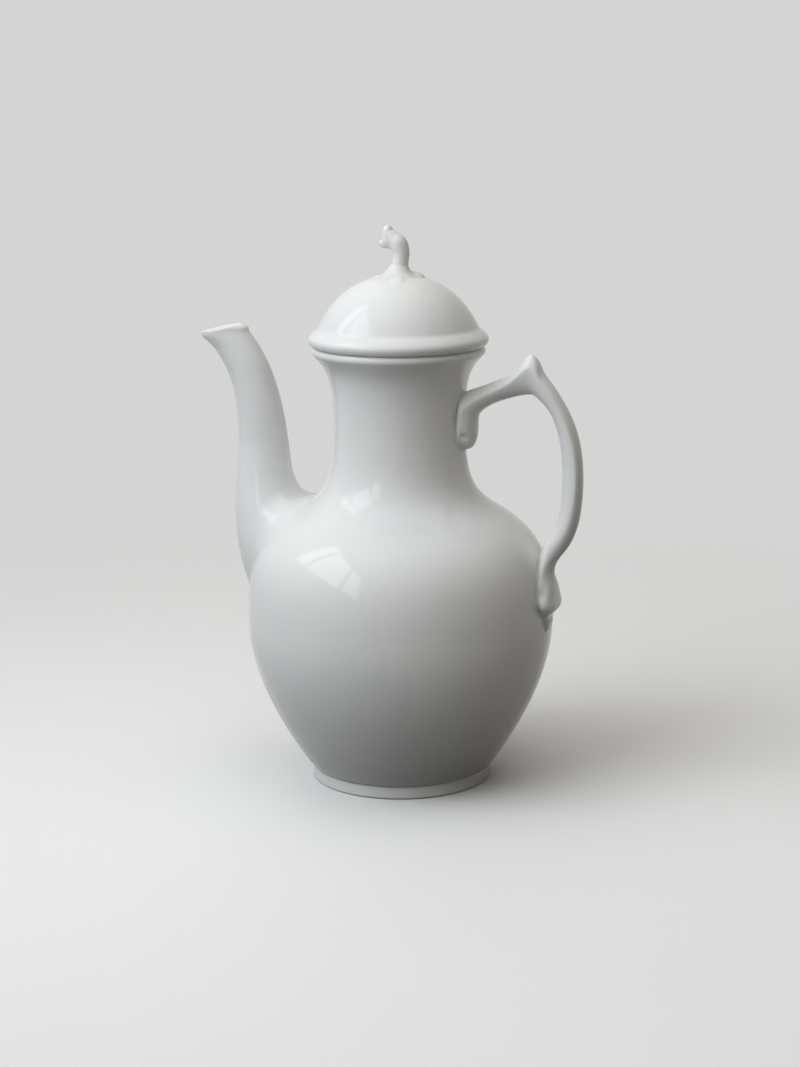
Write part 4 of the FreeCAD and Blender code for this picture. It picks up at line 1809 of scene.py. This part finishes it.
@dataclass(frozen=True)
class Leaves:
    """Four sprigged leaves that lie on the dome round the twig's root."""

    root_reach: float = 4.0
    width_share: float = 0.33
    long_reach: float = 17.5
    short_reach: float = 12.5
    turn: float = 18.5
    thick: float = 2.0
    thin: float = 0.6
    edge_sink: float = 0.12
    vein_depth: float = 0.12
    vein_width: float = 0.1
    under_share: float = -0.5
    end_rise: float = 6.0
    tip_power: float = 4.0
    swell_power: float = 1.3
    ray_height: float = 1000.0
    rows: int = 72
    columns: int = 49

    def tree(self) -> GeometryTree:
        """Tree that lays one closed leaf on the dome.

        Returns:
            The tree.
        """
        tree = GeometryTree("leaf", {
            "Dome": "NodeSocketObject", "Root": "NodeSocketFloat", "Length": "NodeSocketFloat",
            "Half Width": "NodeSocketFloat", "Turn": "NodeSocketFloat", "Thickness": "NodeSocketFloat",
        })
        sides = [self.side(tree, share) for share in (1.0, self.under_share)]
        join = tree.add("GeometryNodeJoinGeometry")
        for side in reversed(sides):
            tree.tree.links.new(side.socket, join.inputs[0])
        tree.finish(tree.welded(tree.out(join)))
        return tree

    def side(self, tree: GeometryTree, share: float) -> Sock:
        """Upper or under side of the leaf, lifted off the dome by a share of its thickness.

        Args:
            tree: the tree that the nodes go into.
            share: share of the thickness, negative for the under side.

        Returns:
            The geometry of the side.
        """
        sockets = {"Size X": 1.0, "Size Y": 2.0, "Vertices X": self.rows, "Vertices Y": self.columns}
        grid = tree.out(tree.add("GeometryNodeMeshGrid", sockets=sockets), "Mesh")
        x, across, _ = tree.parts(tree.place())
        # The grid is one long about its middle, and the outline is a parabola that peaks at one
        length = x + 0.5
        outline = length * (1 - length) * 4.0
        reach = tree.given("Root") + length * tree.given("Length")
        aside = across * outline * tree.given("Half Width")
        turn = tree.given("Turn")
        above = self.ray_height * MM
        over = tree.joined(
            reach * turn.cosine() - aside * turn.sine(), reach * turn.sine() + aside * turn.cosine(), above,
        )
        hit = tree.add("GeometryNodeRaycast", sockets={
            "Target Geometry": tree.shape("Dome"), "Source Position": over, "Ray Direction": (0.0, 0.0, -1.0),
            "Ray Length": 2 * above,
        })
        ends = (1 - length.power(self.tip_power)) * (outline * self.end_rise).least(1.0)
        swell = (1 - across * across).power(self.swell_power) * ends
        rise = swell * share * tree.given("Thickness") - self.edge_sink * MM
        if share > 0:
            middle = across / self.vein_width
            vein = swell / (1 + middle * middle)
            rise = rise - vein * (self.vein_depth * MM)
        lift = tree.vector("SCALE", {0: tree.out(hit, "Hit Normal"), "Scale": rise})
        return tree.moved(grid, {"Position": tree.out(hit, "Hit Position"), "Offset": lift})

    def build(self, dome: Object, material: Material) -> None:
        """Make the four leaves.

        Args:
            dome: the finished lid.
            material: the finish.
        """
        tree = self.tree()
        sizes = {
            "right": (self.short_reach, self.thick), "back": (self.long_reach, self.thin),
            "left": (self.short_reach, self.thin), "front": (self.long_reach, self.thin),
        }
        for place, (name, (reach, thickness)) in enumerate(sizes.items()):
            length = reach - self.root_reach
            piece = tree.mesh("leaf_" + name, {
                "Dome": dome, "Root": self.root_reach * MM, "Length": length * MM,
                "Half Width": self.width_share * length * MM, "Turn": math.radians(self.turn + 90 * place),
                "Thickness": thickness * MM, "Material": material,
            })
            dress(piece, Carrier.LID, "lid_leaf_" + name)


def pool_and_shade_near(piece: Object, neighbours: Sequence[Object], wall: Wall) -> None:
    """Mark where glaze pooling and painted shade darken a wall: along the contact lines of the pieces luted
    to it.

    Args:
        piece: the turned piece, which gets the mark.
        neighbours: the pieces luted to it, already marked.
        wall: the turned piece's outside.
    """
    contacts = []
    for neighbour in neighbours:
        points = vertices(neighbour)
        pool = np.empty(len(points), np.float32)
        neighbour.data.attributes["pool"].data.foreach_get("value", pool)
        near = np.abs(wall.measure(points)[0]) < CONTACT_GAP
        contacts.append(points[near & (pool > CONTACT_POOL_AND_SHADE)])
    contact = np.vstack(contacts)
    tree = KDTree(len(contact))
    for place, point in enumerate(contact):
        tree.insert(point, place)
    tree.balance()
    gaps = np.array([tree.find(point)[2] for point in vertices(piece)])
    mark_pool_and_shade(piece, np.exp(-gaps / POOL_AND_SHADE_REACH))


@dataclass(frozen=True)
class Lamp:
    """Soft upright lamp that faces the pot's axis, at a turn to the right of the camera's line."""

    name: str
    turn: float
    distance: float
    height: float
    size: tuple[float, float]
    power: float
    colour: Triple


@dataclass(frozen=True)
class Studio:
    """Pale floor and backdrop, a window of three panes on the spout's side, soft lamps and the camera."""

    COOL: ClassVar[Triple] = (0.88, 0.95, 1.0)
    SOFT: ClassVar[Triple] = (1.0, 0.985, 0.965)
    WARM: ClassVar[Triple] = (1.0, 0.93, 0.82)

    camera_turn: float = 18.5
    camera_distance: float = 993.0
    camera_height: float = 332.3
    camera_pitch: float = 12.5
    camera_roll: float = 0.5
    lens: float = 76.08
    sensor: float = 36.0
    window_turn: float = -100.0
    window_distance: float = 800.0
    window_bottom: float = 575.0
    window_top: float = 1465.0
    window_panes: tuple[tuple[float, float], ...] = ((-85.0, 115.0), (185.0, 960.0), (1100.0, 1890.0))
    window_glow: float = 6.2
    lamps: tuple[Lamp, ...] = (
        Lamp("daylight", -57.0, 1100.0, 1130.0, (1160.0, 1300.0), 12.6, COOL),
        Lamp("fill", 42.0, 1300.0, 420.0, (1200.0, 1200.0), 0.7, WARM),
        Lamp("back", -170.0, 1600.0, 800.0, (1600.0, 1600.0), 9.0, SOFT),
    )
    ceiling_size: float = 2400.0
    ceiling_height: float = 1900.0
    ceiling_turn: float = -40.0
    ceiling_shift: float = 500.0
    ceiling_power: float = 19.6
    ambient: Colour = (0.135, 0.124, 0.108, 1.0)
    backdrop: Colour = (0.66, 0.66, 0.655, 1.0)
    floor_seen: Colour = (0.84, 0.84, 0.835, 1.0)
    floor_bounce: Colour = (0.05, 0.048, 0.045, 1.0)
    floor_radius: float = 3000.0
    floor_segments: int = 128
    fade_start: float = 120.0
    fade_end: float = 620.0

    def direction(self, turn: float) -> Array:
        """Level direction at a turn to the right of the line from the pot to the camera."""
        angle = math.radians(self.camera_turn + turn)
        return np.array((math.sin(angle), -math.cos(angle), 0.0))

    def seen(self, desk: Desk) -> Sock:
        """One for rays that show a surface to the viewer, zero for those that only carry light.

        Args:
            desk: where the nodes go.

        Returns:
            The mask.
        """
        path = desk.add("ShaderNodeLightPath")
        rays = desk.out(path, "Is Camera Ray") + desk.out(path, "Is Glossy Ray")
        return (rays + desk.out(path, "Is Transmission Ray")).least(1.0)

    def world(self) -> None:
        """Pale backdrop, and a weak warm light from all round."""
        world = bpy.data.worlds.new("studio")
        desk = emptied(world)
        colour = desk.mixed(self.seen(desk), self.ambient, self.backdrop)
        sky = desk.add("ShaderNodeBackground", sockets={"Color": colour, "Strength": 1.0})
        desk.add("ShaderNodeOutputWorld", sockets={"Surface": desk.out(sky)})
        bpy.context.scene.world = world

    def floor(self) -> Object:
        """Pale floor that fades into the backdrop.

        Returns:
            The floor's object.
        """
        shell = bmesh.new()
        size = self.floor_radius * MM
        bmesh.ops.create_circle(shell, cap_ends=True, segments=self.floor_segments, radius=size)
        made = poured("floor", shell)
        material = bpy.data.materials.new("pale_floor")
        made.data.materials.append(material)
        desk = emptied(material)
        place = desk.out(desk.add("ShaderNodeTexCoord"), "Object")
        away = desk.out(desk.add("ShaderNodeVectorMath", {"operation": "LENGTH"}, {0: place}), "Value")
        colour = desk.mixed(self.seen(desk), self.floor_bounce, self.floor_seen)
        paint = desk.add("ShaderNodeBsdfDiffuse", sockets={"Color": colour})
        clear = desk.add("ShaderNodeBsdfTransparent")
        fade = away.eased(self.fade_start * MM, self.fade_end * MM)
        surface = desk.add("ShaderNodeMixShader", sockets={0: fade, 1: desk.out(paint), 2: desk.out(clear)})
        desk.add("ShaderNodeOutputMaterial", sockets={"Surface": desk.out(surface)})
        return made

    def lamp(
        self, name: str, stand: Matrix, size: tuple[float, float], power: float, colour: Triple,
        mirrored: bool = False,
    ) -> None:
        """Soft rectangular lamp that the camera does not see.

        Args:
            name: name of the lamp.
            stand: where it stands; it shines along its own -Z.
            size: width and height.
            power: power in watts.
            colour: colour of its light.
            mirrored: whether it also shows in gloss.
        """
        light = bpy.data.lights.new(name, "AREA")
        light.shape = "RECTANGLE"
        light.size, light.size_y = size[0] * MM, size[1] * MM
        light.energy = power
        light.color = colour
        made = linked(name, light)
        made.matrix_world = stand
        made.visible_camera = False
        made.visible_glossy = mirrored

    def upright(self, turn: float, distance: float, height: float, shift: float = 0.0) -> Matrix:
        """Where an upright lamp stands that faces the pot's axis.

        Args:
            turn: its turn to the right of the line from the pot to the camera.
            distance: how far it is from the axis.
            height: height of its middle.
            shift: how far it stands aside.

        Returns:
            Its place and direction in metres.
        """
        out = self.direction(turn)
        aside = np.cross(at(0, 1), out)
        facing = Matrix(np.stack((aside, at(0, 1), out), 1).tolist()).to_4x4()
        return Matrix.Translation((out * distance + aside * shift + at(0, height)) * MM) @ facing

    def light(self) -> None:
        """Window that shows in the gloss, its daylight, a weak warm fill, and lights behind and overhead."""
        tall = self.window_top - self.window_bottom
        middle = (self.window_top + self.window_bottom) / 2
        for left, right in self.window_panes:
            stand = self.upright(self.window_turn, self.window_distance, middle, (left + right) / 2)
            power = self.window_glow * (right - left) * tall * MM * MM
            self.lamp("pane", stand, (right - left, tall), power, self.COOL, mirrored=True)
        for lamp in self.lamps:
            stand = self.upright(lamp.turn, lamp.distance, lamp.height)
            self.lamp(lamp.name, stand, lamp.size, lamp.power, lamp.colour)
        spot = self.direction(self.ceiling_turn) * self.ceiling_shift + at(0, self.ceiling_height)
        size = (self.ceiling_size, self.ceiling_size)
        self.lamp("ceiling", Matrix.Translation(spot * MM), size, self.ceiling_power, self.SOFT)

    def camera(self) -> None:
        """Camera at the photograph's place and angle."""
        data = bpy.data.cameras.new("camera")
        data.lens = self.lens
        data.sensor_width = self.sensor
        data.sensor_fit = "AUTO"
        made = linked("camera", data)
        place = self.direction(0.0) * self.camera_distance + at(0, self.camera_height)
        turn = Matrix.Rotation(math.radians(self.camera_turn), 4, "Z")
        tilt = Matrix.Rotation(math.radians(90 - self.camera_pitch), 4, "X")
        roll = Matrix.Rotation(math.radians(-self.camera_roll), 4, "Z")
        made.matrix_world = Matrix.Translation(place * MM) @ turn @ tilt @ roll
        bpy.context.scene.camera = made

    def build(self) -> None:
        """Set up the whole studio."""
        self.world()
        self.floor()
        self.light()
        self.camera()
        bpy.context.scene.view_settings.view_transform = "Standard"


def main() -> None:
    """Build the pot piece by piece, then the studio."""
    logging.basicConfig(level=logging.INFO, format="%(message)s")
    pot_glaze = Glaze("glaze_on_pot").material()
    lid_glaze = Glaze("glaze_on_lid", seed=4.0).material()
    turning = Turning()
    body = PotBody(turning)
    wall = body.wall()
    vessel = body.build(pot_glaze)
    FootRing(Turning(wander=0.0), height=body.foot_height).build(pot_glaze)
    spout = Spout().build(wall, pot_glaze)
    handle = Handle().build(wall, pot_glaze)
    pool_and_shade_near(vessel, (spout, handle), wall)
    cover = Lid(turning, rim_height=body.rim_height)
    dome = cover.build(lid_glaze)
    finial = Finial().build(cover.wall(), lid_glaze)
    Leaves().build(dome, lid_glaze)
    pool_and_shade_near(dome, (finial,), cover.wall())
    Studio().build()


if __name__ == "__main__":
    main()
